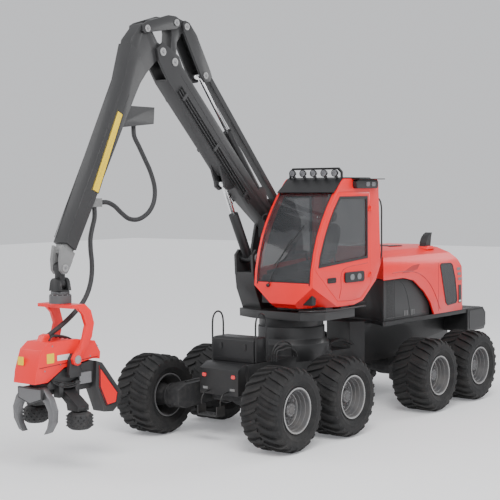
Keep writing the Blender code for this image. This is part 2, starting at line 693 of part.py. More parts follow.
def boom():
    carrier = body("boom", (CRANE_X, *BOOM_FOOT), "platform")
    outline = [
        (1.37, 3.36), (0.30, 4.14), (-1.30, 5.74), (-1.53, 6.06), (-1.58, 6.25), (-1.44, 6.36), (-1.22, 6.26),
        (-1.06, 6.17), (-0.98, 6.01), (1.02, 4.02), (1.56, 3.60),
    ] + arc(BOOM_FOOT, 0.15, 30, -110, 6)
    box_beam = prism("X", outline, CRANE_X - BOOM_HALF, CRANE_X + BOOM_HALF)
    slot = prism(
        "X",
        [(-1.75, 5.70), (-1.75, 6.60), (-0.80, 6.60), (-0.80, 6.00), (-1.02, 5.86), (-1.20, 5.82)],
        CRANE_X - FORK_HALF, CRANE_X + FORK_HALF,
    )
    pins = [cross_bar(spot, PIN, FORK_HALF + 0.02) for spot in (KNUCKLE, ROCKER_FOOT)]
    lift_lug = plates(
        [(0.46, 4.10), (0.28, 4.06), (0.20, 4.04), (0.11, 4.09), (0.09, 4.18), (-0.08, 4.60), (0.30, 4.30)], 0.075, 0.115,
    )
    cylinder_lug = plates(
        [(0.92, 4.02), (1.08, 4.08), (1.16, 4.095), (1.25, 4.05), (1.26, 3.96), (1.34, 3.70), (1.0, 3.80)], 0.08, 0.12,
    )
    cylinder_pin = cross_bar(JIB_CYL_FOOT, PIN, 0.10)
    recess = prism("X", arc(JIB_CYL_FOOT, 0.115, 0, 345, 15), CRANE_X - 0.08, CRANE_X + 0.08)
    pocket = prism("X", arc(LIFT_HEAD, 0.145, 0, 345, 15), CRANE_X - 0.075, CRANE_X + 0.075)
    item = solid(
        "main_boom", box_beam, carrier, GREY_STEEL,
        join=[lift_lug, cylinder_lug], cut=[slot, bore(BOOM_FOOT, 0.3), recess, pocket],
    )
    for count, pin in enumerate(pins + [cylinder_pin]):
        boolean(item, tool(f"main_boom_pin_{count}", pin, carrier), "UNION")

    lift = body("lift_barrel", (CRANE_X, *LIFT_FOOT), "platform")
    lift_rod = body("lift_rod", (CRANE_X, *LIFT_HEAD), lift)
    jib_rod = body("jib_rod", (CRANE_X, *BAR_EYE), "boom")
    cylinder("lift", LIFT_FOOT, LIFT_HEAD, 0.085, 0.045, 0.87, 0.13, 0.88, BOOM_HALF, 0.07, lift, lift_rod)
    cylinder("jib_cylinder", JIB_CYL_FOOT, BAR_EYE, 0.075, 0.042, 1.33, 0.52, 1.33, 0.075, 0.10, "boom", jib_rod)


def linkage():
    carrier = body("rocker", (CRANE_X, *ROCKER_FOOT), "boom")
    plate = [
        (-1.235, 6.06), (-1.20, 6.01), (-1.13, 6.005), (-1.09, 6.05), (-1.06, 6.40), (-0.92, 6.58), (-0.80, 6.60),
        (-0.775, 6.68), (-0.82, 6.74), (-0.90, 6.755), (-1.08, 6.795), (-1.18, 6.76), (-1.205, 6.68), (-1.18, 6.52),
    ]
    half = FORK_HALF - SIDE_GAP
    block = prism("X", plate, CRANE_X - half, CRANE_X + half)
    solid("rocker", block, carrier, GREY_STEEL, cut=[bore(ROCKER_FOOT, 0.2), bore(ROCKER_REAR, 0.2)])

    bar = body("link_bar", (CRANE_X, *ROCKER_REAR), "rocker")
    upper = [
        (-0.955, 6.69), (-0.90, 6.755), (-0.80, 6.73), (-0.62, 6.55), (-0.28, 5.99), (-0.24, 5.90), (-0.30, 5.82),
        (-0.42, 5.80), (-0.52, 5.90), (-0.93, 6.58),
    ]
    ends = plates(upper, FORK_HALF, BOOM_HALF)
    web = prism("X", [(-0.70, 6.63), (-0.62, 6.55), (-0.28, 5.99), (-0.24, 5.90), (-0.275, 5.88), (-0.66, 6.50), (-0.73, 6.58)], CRANE_X - BOOM_HALF + 0.01, CRANE_X + BOOM_HALF - 0.01)
    away = Vector(BAR_FOOT) - Vector((-0.342, 6.047))
    along = away.normalized()
    across = Vector((-along.y, along.x))
    top = Vector((-0.342, 6.047))
    foot = Vector(BAR_FOOT)
    beam = [top + across * 0.045, foot + across * 0.045, foot - across * 0.045, top - across * 0.045]
    beam = prism("X", [(p.x, p.y) for p in beam], CRANE_X - 0.07, CRANE_X + 0.07)
    pin = cross_bar(ROCKER_REAR, PIN, FORK_HALF + 0.02)
    foot_tube = cross_bar(BAR_FOOT, 0.07, BOOM_HALF)
    eye, reach = Vector(BAR_EYE), (Vector(JIB_CYL_FOOT) - Vector(BAR_EYE)).normalized()
    aside = Vector((-reach.y, reach.x))
    room = [eye, eye + reach * 0.45, eye + reach * 0.45 + aside * 0.115, eye + aside * 0.115]
    room = prism("X", [(p.x, p.y) for p in room], CRANE_X - 0.105, CRANE_X + 0.105)
    eye_room = prism("X", arc(BAR_EYE, 0.13, 0, 345, 15), CRANE_X - 0.105, CRANE_X + 0.105)
    solid(
        "link_bar", beam, bar, GREY_STEEL,
        join=[ends, web, pin, foot_tube], cut=[cross_bar(BAR_FOOT, 0.035, 0.3), room, eye_room],
    )


def jib():
    carrier = body("jib", (CRANE_X, *KNUCKLE), "boom")
    outline = [
        (-3.56, 3.30), (-3.375, 3.18), (-2.29, 5.12), (-2.04, 5.56), (-1.78, 5.86), (-1.56, 6.06), (-1.39, 6.10),
        (-1.33, 6.19), (-1.37, 6.30), (-1.52, 6.36), (-1.70, 6.60), (-1.78, 6.64), (-1.88, 6.61), (-2.12, 6.36),
        (-2.31, 5.74),
    ]
    half = FORK_HALF - SIDE_GAP
    plate = prism("X", outline, CRANE_X - half, CRANE_X + half)
    beam_outline = [(-3.56, 3.30), (-3.375, 3.18), (-2.29, 5.12), (-2.04, 5.56), (-1.84, 5.88), (-1.99, 6.16), (-2.14, 6.30), (-2.31, 5.74)]
    beam = prism("X", beam_outline, CRANE_X - 0.14, CRANE_X + 0.14)
    axis_top, axis_low = Vector((-1.90, 6.02)), Vector((-3.4675, 3.24))
    along = (axis_low - axis_top).normalized()
    across = Vector((-along.y, along.x))

    def channel(start, end, width):
        return [(p.x, p.y) for p in (start - across * width, end - across * width, end + across * width, start + across * width)]

    bore_top = axis_low - along * 3.02
    hollow = prism("X", channel(bore_top, axis_low + along * 0.3, 0.075 + FIT), CRANE_X - 0.10 - FIT, CRANE_X + 0.10 + FIT)
    bracket = prism("X", [(-2.385, 5.00), (-2.195, 5.34), (-1.60, 5.34), (-1.62, 5.08)], CRANE_X - 0.10, CRANE_X + 0.10)
    solid(
        "jib", plate, carrier, GREY_STEEL, join=[beam, bracket],
        cut=[hollow, bore(KNUCKLE, 0.2), bore(JIB_TOP, 0.2)],
    )

    extension = body("jib_extension", (CRANE_X, *TIP), "jib")
    inner = prism("X", channel(bore_top + along * 0.02, axis_low + along * 0.10, 0.075), CRANE_X - 0.10, CRANE_X + 0.10)
    sense = -1 if (Vector((-2.9, 3.9)) - axis_low).dot(across) < 0 else 1
    gap = 0.116
    rail_top = axis_low - along * 0.90 + across * sense * gap
    rail_low = axis_low + along * 0.10 + across * sense * gap
    rail = [rail_top, rail_low, rail_low + across * sense * 0.035, rail_top + across * sense * 0.035]
    rail = prism("X", [(p.x, p.y) for p in rail], CRANE_X - 0.05, CRANE_X + 0.05)
    head_start, head_end = axis_low + along * 0.035, axis_low + along * 0.14
    bridge = [head_start - across * sense * 0.07, head_end - across * sense * 0.07, head_end + across * sense * (gap + 0.035), head_start + across * sense * (gap + 0.035)]
    bridge = prism("X", [(p.x, p.y) for p in bridge], CRANE_X - 0.10, CRANE_X + 0.10)
    fork = [
        (-3.62, 3.26), (-3.40, 3.12), (-3.42, 3.02), (-3.49, 2.90), (-3.53, 2.85), (-3.60, 2.84), (-3.65, 2.90), (-3.66, 3.06),
    ]
    fork = plates(fork, 0.055 + SIDE_GAP, 0.11)
    pin = cross_bar(TIP, PIN, 0.08)
    clamp_spot = axis_low - along * 0.84 + across * sense * 0.14
    clamp = box((CRANE_X - 0.05, clamp_spot.x - 0.007, clamp_spot.y - 0.10), (CRANE_X + 0.05, clamp_spot.x + 0.20, clamp_spot.y + 0.03))
    solid("jib_extension", inner, extension, TIP_GREY, join=[bridge, rail, fork, pin, clamp])

    link = body("top_link", (CRANE_X, *JIB_TOP), "jib")
    sides = plates(
        [(-1.90, 6.50), (-1.86, 6.47), (-1.12, 6.60), (-1.03, 6.66), (-1.05, 6.77), (-1.13, 6.80), (-1.30, 6.80), (-1.80, 6.65), (-1.89, 6.60)],
        FORK_HALF, BOOM_HALF,
    )
    web = prism("X", [(-1.60, 6.53), (-1.42, 6.565), (-1.42, 6.76), (-1.58, 6.71)], CRANE_X - BOOM_HALF + 0.01, CRANE_X + BOOM_HALF - 0.01)
    pin = cross_bar(JIB_TOP, PIN, FORK_HALF + 0.02)
    solid("top_link", web, link, GREY_STEEL, join=[sides, pin])


# ---------------------------------------------------------------- hanging link, rotator and head
def bar_along_y(x, z, radius, low, high, sides=PIN_SIDES):
    return prism("Y", circle((x, z), radius, sides), low, high)


def suspension():
    y = TIP[0]
    link = body("tip_link", (CRANE_X, *TIP), "jib_extension")
    half = 0.055
    upper = prism("X", arc(TIP, 0.085, 0, 180, 8) + [(y - 0.05, 2.84), (y - 0.05, CROSS_Z), (y + 0.05, CROSS_Z), (y + 0.05, 2.84)], CRANE_X - half, CRANE_X + half)
    lower = bar_along_y(CRANE_X, CROSS_Z, 0.075, y - 0.05, y + 0.05)
    cross_bore = PIN / math.cos(math.pi / PIN_SIDES) + PLAY
    solid("tip_link", upper, link, BLACK_STEEL, join=[lower], cut=[bore(TIP, 0.2), bar_along_y(CRANE_X, CROSS_Z, cross_bore, y - 0.2, y + 0.2)])

    rotator = body("rotator", (CRANE_X, y, CROSS_Z), "tip_link")
    housing = turned([(0, ROTOR_Z + 0.0003), (0.135, ROTOR_Z + 0.0003), (0.135, 2.59), (0.11, 2.615), (0, 2.615)], "Z", (CRANE_X, y, 0), 20)
    lobes = [
        prism("Y", arc((CRANE_X, CROSS_Z), 0.09, 0, 180, 8) + [(CRANE_X - 0.11, 2.60), (CRANE_X + 0.11, 2.60)], a, b)
        for a, b in ((y - 0.12, y - 0.055), (y + 0.055, y + 0.12))
    ]
    pin = bar_along_y(CRANE_X, CROSS_Z, PIN, y - 0.10, y + 0.10)
    solid("rotator", housing, rotator, BLACK_STEEL, join=[merged(*lobes), pin])


def head():
    y = TIP[0]
    hanger = body("head_hanger", (CRANE_X, y, ROTOR_Z), "rotator")
    flange = turned([(0, 2.40), (0.155, 2.40), (0.155, ROTOR_Z), (0, ROTOR_Z)], "Z", (CRANE_X, y, 0), 20)
    tilt_y, tilt_z = TILT
    yoke = [(-3.69, 2.41), (-3.42, 2.41), (-3.30, 2.31), (-3.24, 2.12), (-3.29, 1.92)]
    yoke += [(tilt_y + a, tilt_z + b) for a, b in (
        (0.16, 0.11), (0.09, 0.0), (0.06, -0.07), (0.0, -0.09), (-0.07, -0.06), (-0.09, 0.01), (-0.05, 0.08), (0.05, 0.15),
    )]
    yoke += [(-3.46, 1.91), (-3.40, 2.10), (-3.46, 2.26), (-3.56, 2.35), (-3.69, 2.36)]
    arm_in, arm_out = 0.30, 0.355
    top_plate = box((CRANE_X - arm_out, -3.69, 2.36), (CRANE_X + arm_out, -3.42, 2.41))
    stubs = [
        prism("X", circle(TILT, PIN), CRANE_X + side * 0.245, CRANE_X + side * (arm_out - 0.01))
        for side in (-1, 1)
    ]
    solid("head_hanger", flange, hanger, RED, join=[top_plate, plates(yoke, arm_in, arm_out), merged(*stubs)])

    frame = body("head_frame", (CRANE_X, *TILT), "head_hanger")
    spine = prism(
        "X",
        [(-4.02, 1.13), (-4.02, 1.30), (-3.72, 1.48), (-3.14, 1.55), (-2.98, 1.50), (-2.90, 1.30), (-3.10, 1.13)],
        CRANE_X - 0.135, CRANE_X + 0.135,
    )
    upper = prism(
        "X",
        [(-4.02, 1.22), (-4.02, 1.30), (-3.72, 1.48), (-3.14, 1.55), (-2.98, 1.50), (-2.90, 1.30), (-2.96, 1.22)],
        CRANE_X - 0.19, CRANE_X + 0.19,
    )
    ear = [(-0.12, -0.22), (-0.09, 0.02), (-0.04, 0.085), (0.04, 0.085), (0.09, 0.02), (0.14, -0.20)]
    ears = plates([(tilt_y + a, tilt_z + b) for a, b in ear], 0.24, 0.295)
    ear_foot = box((CRANE_X - 0.295, tilt_y - 0.10, 1.36), (CRANE_X + 0.295, tilt_y + 0.12, 1.44))
    saw_box = prism(
        "X", [(-3.10, 1.54), (-2.98, 1.50), (-2.58, 1.02), (-2.60, 0.86), (-2.76, 0.74), (-2.95, 0.76), (-3.12, 1.16)],
        CRANE_X + 0.02, CRANE_X + 0.25,
    )
    front_plate = prism(
        "Y", [(CRANE_X - 0.25, 1.26), (CRANE_X - 0.25, 1.10), (CRANE_X, 1.02), (CRANE_X + 0.25, 1.10), (CRANE_X + 0.25, 1.26)], -4.19, -4.15,
    )
    pins = [
        bar_along_y(CRANE_X + side * KNIFE_PIVOT[0], KNIFE_PIVOT[1], PIN, -4.17, -3.98) for side in (-1, 1)
    ]
    bracket = [
        bar_along_y(CRANE_X + side * ARM_PIVOT[0], ARM_PIVOT[1], PIN, -3.86, -3.46) for side in (-1, 1)
    ]
    posts = [
        box((CRANE_X + side * 0.20 - 0.06, a, 1.09), (CRANE_X + side * 0.20 + 0.06, b, 1.30))
        for side in (-1, 1) for a, b in ((-3.86, -3.78), (-3.54, -3.46))
    ]
    ear_bores = bore(TILT, 0.5)
    solid(
        "head_frame", spine, frame, GREY_STEEL,
        join=[upper, ear_foot, ears, saw_box, merged(*pins), front_plate, merged(*posts), merged(*bracket)], cut=[ear_bores],
    )
    cover = [
        (-4.29, 1.33), (-4.26, 1.52), (-4.16, 1.80), (-4.02, 1.90), (-3.50, 1.90), (-3.10, 1.84), (-2.99, 1.66), (-3.00, 1.56),
        (-3.14, 1.58 + 0.0), (-3.72, 1.51), (-4.05, 1.33),
    ]
    gland = [(-3.80, 1.88), (-3.8182, 1.910), (-3.8618, 2.000), (-3.95, 1.98), (-4.00, 1.88)]
    gland = prism("X", gland, CRANE_X - 0.06, CRANE_X + 0.06)
    solid("head_cover", prism("X", cover, CRANE_X - 0.225, CRANE_X + 0.225), frame, RED, join=[gland])

    for name, side in (("left", 1), ("right", -1)):
        px, pz = CRANE_X + side * KNIFE_PIVOT[0], KNIFE_PIVOT[1]
        knife = body("knife_" + name, (px, -4.08, pz), "head_frame")
        blade = [
            (-0.055, 0.03), (0.0, 0.065), (0.06, 0.04), (0.19, -0.09), (0.26, -0.25), (0.245, -0.42), (0.14, -0.57),
            (0.06, -0.60), (0.13, -0.50), (0.165, -0.38), (0.155, -0.26), (0.09, -0.15), (-0.03, -0.055), (-0.06, -0.01),
        ]
        blade = prism("Y", [(px + side * a, pz + b) for a, b in blade], -4.14, -4.03)
        hole = bar_along_y(px, pz, PIN / math.cos(math.pi / PIN_SIDES) + PLAY, -4.3, -3.9)
        solid("knife_" + name, blade, knife, KNIFE_GREY, cut=[hole])

        ax, az = CRANE_X + side * ARM_PIVOT[0], ARM_PIVOT[1]
        rx = CRANE_X + side * ROLLER[0]
        arm = body("roller_arm_" + name, (ax, ROLLER[1], az), "head_frame")
        shape = [
            (-0.05, 0.03), (0.0, 0.06), (0.06, 0.04), (0.20, -0.06), (0.34, -0.16), (0.34, -0.236), (0.12, -0.236),
            (0.10, -0.14), (0.0, -0.055), (-0.05, -0.02),
        ]
        shape = prism("Y", [(ax + side * a, az + b) for a, b in shape], ROLLER[1] - 0.11, ROLLER[1] + 0.11)
        hole = bar_along_y(ax, az, PIN / math.cos(math.pi / PIN_SIDES) + PLAY, -4.0, -3.2)
        shaft = prism("Z", circle((rx, ROLLER[1]), PIN), 0.70, 0.95)
        solid("roller_arm_" + name, shape, arm, BLACK_STEEL, join=[shaft], cut=[hole])

        roller = body("feed_roller_" + name, (rx, ROLLER[1], 0.78), "roller_arm_" + name)
        inner = PIN / math.cos(math.pi / PIN_SIDES) + PLAY
        drum = [(inner, 0.64), (0.17, 0.64), (0.205, 0.70), (0.205, 0.86), (0.17, 0.89), (inner, 0.89)]
        solid("feed_roller_" + name, turned(drum, "Z", (rx, ROLLER[1], 0), 16), roller, BLACK_STEEL)


# ---------------------------------------------------------------- hoses
def smooth_route(points, spacing):
    """A Catmull-Rom curve through the route's points, read at an even spacing."""
    knots = [Vector(p) for p in points]
    knots = [knots[0] * 2 - knots[1]] + knots + [knots[-1] * 2 - knots[-2]]
    fine = []
    for a, b, c, d in zip(knots, knots[1:], knots[2:], knots[3:]):
        for i in range(24):
            t = i / 24
            fine.append(
                ((2 * b) + (c - a) * t + (2 * a - 5 * b + 4 * c - d) * t * t + (3 * b - a - 3 * c + d) * t ** 3) / 2
            )
    fine.append(knots[-2])
    total = sum((q - p).length for p, q in zip(fine, fine[1:]))
    count = max(2, round(total / spacing))
    step, run, spots = total / count, 0.0, [fine[0]]
    for p, q in zip(fine, fine[1:]):
        length = (q - p).length
        while len(spots) < count and run + length >= step * len(spots) - 1e-9:
            spots.append(p.lerp(q, (step * len(spots) - run) / length))
        run += length
    spots.append(fine[-1])
    spots[1] = knots[1] + (knots[2] - knots[1]).normalized() * step
    spots[-2] = knots[-2] - (knots[-2] - knots[-3]).normalized() * step
    return spots


def hose(name, points, carrier):
    empty, origin = bodies[carrier]
    data = bpy.data.curves.new(name, "CURVE")
    data.dimensions = "3D"
    data.bevel_depth = HOSE_RADIUS
    data.bevel_resolution = 2
    data.use_fill_caps = True
    spots = smooth_route(points, HOSE_RADIUS * 2 * 2.2)
    line = data.splines.new("POLY")
    line.points.add(len(spots) - 1)
    for spot, place in zip(line.points, spots):
        spot.co = (*(place - origin), 1)
    item = bpy.data.objects.new(name, data)
    bpy.context.scene.collection.objects.link(item)
    item.parent = empty
    data.materials.append(HOSE)
    return item


HOSE_LOOP = [(CRANE_X, y, z) for y, z in (
    (-1.980, 5.0413), (-1.9636, 4.884), (-1.86, 4.73), (-1.74, 4.55), (-1.60, 4.33), (-1.51, 4.09), (-1.53, 3.87),
    (-1.66, 3.70), (-1.88, 3.60), (-2.10, 3.61), (-2.28, 3.71), (-2.42, 3.81), (-2.575, 3.868), (-2.7327, 3.868),
)]
HOSE_DROP = [(CRANE_X, y, z) for y, z in (
    (-2.85, 3.8027), (-2.85, 3.645), (-2.90, 3.49), (-2.94, 3.34), (-2.94, 3.17), (-2.92, 3.00), (-2.92, 2.84),
    (-2.95, 2.68), (-3.02, 2.52), (-3.13, 2.38), (-3.27, 2.27), (-3.42, 2.17), (-3.56, 2.09), (-3.6975, 2.0241),
    (-3.8397, 1.9551),
)]


# ---------------------------------------------------------------- build
for item in list(bpy.data.objects):
    bpy.data.objects.remove(item, do_unlink=True)

RED = finish("red paint", (0.85, 0.03, 0.03), 0.35)
GREY_STEEL = finish("dark grey paint", (0.07, 0.07, 0.07), 0.5)
BLACK_STEEL = finish("black paint", (0.012, 0.012, 0.012), 0.5)
CAST = finish("cast iron", (0.03, 0.03, 0.03), 0.6)
RUBBER = finish("tyre rubber", (0.015, 0.015, 0.015), 0.85)
RIM = finish("rim paint", (0.09, 0.09, 0.09), 0.45)
TIP_GREY = finish("pale grey paint", (0.35, 0.35, 0.34), 0.45)
KNIFE_GREY = finish("knife steel", (0.3, 0.3, 0.3), 0.4, 0.6)
CHROME = finish("chrome", (0.85, 0.85, 0.85), 0.12, 1.0)
TINTED = finish("tinted glass", (0.05, 0.05, 0.05), 0.05, 0.0, 0.5)
FABRIC = finish("seat fabric", (0.05, 0.05, 0.05), 0.9)
HOSE = finish("hose", (0.01, 0.01, 0.01), 0.7)

body("machine", (0, 0, 0))
bodies["machine"][0].location = (0, -MID_Y, 0)
front_frame()
rear_frame()
hood()
platform()
cab()
door()
boom()
linkage()
jib()
suspension()
head()
hose("hose_loop", HOSE_LOOP, "jib")
hose("hose_drop", HOSE_DROP, "jib_extension")
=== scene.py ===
import json
import math

import bmesh
import bpy
import numpy as np
from mathutils import Matrix


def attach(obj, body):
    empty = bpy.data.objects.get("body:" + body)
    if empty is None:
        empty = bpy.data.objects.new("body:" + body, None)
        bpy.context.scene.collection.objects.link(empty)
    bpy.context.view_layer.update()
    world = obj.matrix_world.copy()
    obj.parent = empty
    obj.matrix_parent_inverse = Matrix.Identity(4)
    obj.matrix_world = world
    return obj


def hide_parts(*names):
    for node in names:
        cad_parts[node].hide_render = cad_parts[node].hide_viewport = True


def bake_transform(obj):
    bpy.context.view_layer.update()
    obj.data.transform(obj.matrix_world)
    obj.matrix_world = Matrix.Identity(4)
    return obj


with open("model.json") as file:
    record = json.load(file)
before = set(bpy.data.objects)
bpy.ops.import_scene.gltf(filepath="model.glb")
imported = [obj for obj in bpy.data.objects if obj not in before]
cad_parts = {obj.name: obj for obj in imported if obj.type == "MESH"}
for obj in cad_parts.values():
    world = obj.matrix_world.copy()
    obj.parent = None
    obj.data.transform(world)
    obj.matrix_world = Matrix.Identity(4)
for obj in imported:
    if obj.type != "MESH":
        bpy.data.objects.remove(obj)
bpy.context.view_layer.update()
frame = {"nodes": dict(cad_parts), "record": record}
print("frame loaded")

middleY = 1.215     # sizes below are from the front bogie, and the model's origin is this far behind it
craneX = -0.61
axleHeight = 0.66
nodeBody = {node: body for body, nodes in frame["record"]["behaviour"]["bodies"].items() for node in nodes}
nodeSlot = {entry["node"]: entry["material_slot"] for entry in frame["record"]["subparts"]}


viewPoint = {"place": (12.602, -16.049, 4.047), "yaw": 37.885, "pitch": 2.797, "roll": -0.439,
             "lens": 89.19}


def addCamera(spec):
    yaw, pitch, roll = (math.radians(spec[key]) for key in ("yaw", "pitch", "roll"))
    forward = np.array([-math.sin(yaw) * math.cos(pitch), math.cos(yaw) * math.cos(pitch),
                        -math.sin(pitch)])
    level = np.array([math.cos(yaw), math.sin(yaw), 0])
    rise = np.cross(level, forward)
    right = level * math.cos(roll) + rise * math.sin(roll)
    up = rise * math.cos(roll) - level * math.sin(roll)
    matrix = np.eye(4)
    matrix[:3, 0], matrix[:3, 1], matrix[:3, 2] = right, up, -forward
    matrix[:3, 3] = np.array(spec["place"]) - (0, middleY, 0)
    data = bpy.data.cameras.new("viewCamera")
    data.lens, data.sensor_width = spec["lens"], 36
    data.clip_end = 200
    camera = bpy.data.objects.new("viewCamera", data)
    bpy.context.scene.collection.objects.link(camera)
    camera.matrix_world = Matrix(matrix.tolist())
    bpy.context.scene.camera = camera


addCamera(viewPoint)


def addLight(name, kind, place, energy, size, aim=(0, 0, 1.5), colour=(1, 1, 1)):
    data = bpy.data.lights.new(name, kind)
    data.energy = energy
    data.color = colour
    if kind == "AREA":
        data.shape, data.size = "DISK", size
    else:
        data.angle = size
    light = bpy.data.objects.new(name, data)
    bpy.context.scene.collection.objects.link(light)
    back = np.array(place, float) - aim
    back /= np.linalg.norm(back)
    side = np.cross((0, 0, 1), back)
    side /= np.linalg.norm(side)
    matrix = np.eye(4)
    matrix[:3, 0], matrix[:3, 1], matrix[:3, 2], matrix[:3, 3] = side, np.cross(back, side), back, place
    light.matrix_world = Matrix(matrix.tolist())


addLight("keyLight", "AREA", (9, -9, 11), 1300, 7)
addLight("sideLight", "AREA", (-10, -8, 7), 260, 7)
addLight("backLight", "AREA", (6, 13, 9), 500, 7)
addLight("softSun", "SUN", (4, -6, 12), 0.8, 0.35)

world = bpy.data.worlds.new("studio")
bpy.context.scene.world = world
world.use_nodes = True
world.node_tree.nodes["Background"].inputs["Color"].default_value = (0.96, 0.97, 1.0, 1)
world.node_tree.nodes["Background"].inputs["Strength"].default_value = 0.80


def feed(tree, socket, value):
    if isinstance(value, Wire):
        tree.links.new(value.socket, socket)
    elif isinstance(value, tuple) and len(value) == 3 and socket.type == "RGBA":
        socket.default_value = (*value, 1)
    else:
        socket.default_value = value


class Wire:
    # a socket that can be added, taken away, multiplied and divided

    def __init__(self, tree, socket):
        self.tree, self.socket = tree, socket

    def maths(self, operation, *others):
        node = self.tree.nodes.new("ShaderNodeMath")
        node.operation = operation
        for socket, value in zip(node.inputs, others):
            feed(self.tree, socket, value)
        return Wire(self.tree, node.outputs[0])

    def __add__(self, other): return self.maths("ADD", self, other)
    def __radd__(self, other): return self.maths("ADD", other, self)
    def __sub__(self, other): return self.maths("SUBTRACT", self, other)
    def __rsub__(self, other): return self.maths("SUBTRACT", other, self)
    def __mul__(self, other): return self.maths("MULTIPLY", self, other)
    def __rmul__(self, other): return self.maths("MULTIPLY", other, self)
    def __truediv__(self, other): return self.maths("DIVIDE", self, other)
    def __rtruediv__(self, other): return self.maths("DIVIDE", other, self)
    def __pow__(self, other): return self.maths("POWER", self, other)
    def __gt__(self, other): return self.maths("GREATER_THAN", self, other)
    def sine(self): return self.maths("SINE", self)
    def size(self): return self.maths("ABSOLUTE", self)

    def held(self):
        node = self.tree.nodes.new("ShaderNodeClamp")
        feed(self.tree, node.inputs[0], self)
        return Wire(self.tree, node.outputs[0])


class Finish:
    # a material under construction

    def __init__(self, name, **fixed):
        self.material = bpy.data.materials.new(name)
        self.material.use_nodes = True
        self.tree = self.material.node_tree
        self.shader = self.tree.nodes["Principled BSDF"]
        for key, value in fixed.items():
            self.set(key, value)
        coordinates = self.tree.nodes.new("ShaderNodeTexCoord")
        self.spot = Wire(self.tree, coordinates.outputs["Object"])
        parts = self.tree.nodes.new("ShaderNodeSeparateXYZ")
        feed(self.tree, parts.inputs[0], self.spot)
        self.x, self.y, self.z = (Wire(self.tree, output) for output in parts.outputs)

    def set(self, key, value):
        name = {"colour": "Base Color", "rough": "Roughness", "metal": "Metallic", "coat": "Coat Weight",
                "coatRough": "Coat Roughness", "alpha": "Alpha", "glow": "Emission Color",
                "glowPower": "Emission Strength", "normal": "Normal", "sheen": "Sheen Weight",
                "ior": "IOR"}[key]
        feed(self.tree, self.shader.inputs[name], value)
        return self

    def node(self, kind, settings=None, sockets=None, output=0):
        made = self.tree.nodes.new("ShaderNode" + kind)
        for key, value in (settings or {}).items():
            if key == "stops":
                ramp = made.color_ramp
                while len(ramp.elements) < len(value):
                    ramp.elements.new(0.5)
                for element, (position, shade) in zip(ramp.elements, value):
                    element.position, element.color = position, (shade, shade, shade, 1)
            else:
                setattr(made, key, value)
        for key, value in (sockets or {}).items():
            feed(self.tree, made.inputs[key], value)
        return Wire(self.tree, made.outputs[output])

    def noise(self, scale, detail=3.0, rough=0.55, stretch=None):
        spot = self.spot
        if stretch:
            spot = self.node("Mapping", {}, {"Vector": self.spot, "Scale": stretch})
        return self.node("TexNoise", {},
                         {"Vector": spot, "Scale": scale, "Detail": detail, "Roughness": rough})

    def ramp(self, value, *stops):
        return self.node("ValToRGB", {"stops": stops}, {0: value})

    def mix(self, amount, first, second):
        return self.node("Mix", {"data_type": "RGBA"}, {0: amount, 6: first, 7: second}, 2)

    def bump(self, height, strength, distance=0.01):
        return self.set("normal", self.node("Bump", {}, {"Height": height, "Strength": strength,
                                            "Distance": distance}))


def paintFinish(name, colour, worn, rough=0.34, coat=0.35, dust=0.25):
    # colour turns to the worn shade where slow noise is high; dust gathers as height falls below 1.3 m;
    # roughness is the base plus a twelfth of fine noise plus the dust
    made = Finish(name, coatRough=0.12)
    slow = made.ramp(made.noise(1.7, 4), (0.42, 0.0), (0.72, 1.0))
    fine = made.noise(42, 3)
    low = ((1.3 - made.z) / 1.3).held() * made.ramp(made.noise(5.5, 5), (0.38, 0.0), (0.68, 1.0)) * dust
    shade = made.mix(slow * 0.55, colour, worn)
    made.set("colour", made.mix(low, shade, (0.24, 0.20, 0.16)))
    made.set("rough", (rough + fine * 0.12 + low * 0.6).held())
    made.set("coat", ((1 - low * 2.5) * coat).held())
    return made.bump(made.noise(160, 2) + made.noise(9, 2) * 0.6, 0.06, 0.004).material


def castFinish(name, colour, worn, rough=0.55):
    # rough sand-cast skin: two sizes of noise as bump, a paler worn shade where they are high
    made = Finish(name)
    grain, lump = made.noise(95, 4), made.noise(13, 4)
    made.set("colour", made.mix(made.ramp(lump, (0.45, 0.0), (0.75, 1.0)) * 0.6, colour, worn))
    made.set("rough", (rough + grain * 0.2).held())
    return made.bump(grain * 0.6 + lump, 0.22, 0.008).material


def rubberFinish():
    # near-black rubber with pale dust that follows slow noise, and fine pebbled bump
    made = Finish("tyreRubber")
    dust = made.ramp(made.noise(4.5, 5), (0.40, 0.0), (0.78, 1.0))
    low = ((1.5 - made.z) / 1.5).held()
    made.set("colour", made.mix(dust * (0.10 + low * 0.16), (0.006, 0.006, 0.0065), (0.085, 0.078, 0.070)))
    made.set("rough", (0.62 + made.noise(30, 3) * 0.25).held())
    return made.bump(made.noise(120, 3) + made.noise(22, 3) * 0.7, 0.18, 0.006).material


def steelFinish(name, colour, rough, stretch=(30, 2, 2)):
    # fine streaks from stretched noise set roughness and a slight change of shade
    made = Finish(name, metal=0.85)
    streak = made.noise(14, 4, 0.6, stretch)
    made.set("colour", made.mix(streak * 0.5, colour, tuple(0.6 * part for part in colour)))
    made.set("rough", (rough + streak * 0.22).held())
    return made.bump(streak, 0.08, 0.003).material


def chromeFinish():
    # bright plating with an oil film: roughness rises a little with noise
    made = Finish("hardChrome", metal=1.0, colour=(0.86, 0.87, 0.88))
    made.set("rough", 0.09 + made.noise(25, 3) * 0.10)
    return made.material


def glassFinish():
    # grey tinted pane, slightly dusty: roughness follows slow noise
    made = Finish("tintedGlass", coat=0.6, ior=1.5, alpha=0.50)
    film = made.ramp(made.noise(3.2, 4), (0.45, 0.0), (0.8, 1.0))
    made.set("colour", made.mix(film * 0.25, (0.045, 0.048, 0.052), (0.14, 0.14, 0.14)))
    made.set("rough", 0.04 + film * 0.09)
    return made.material


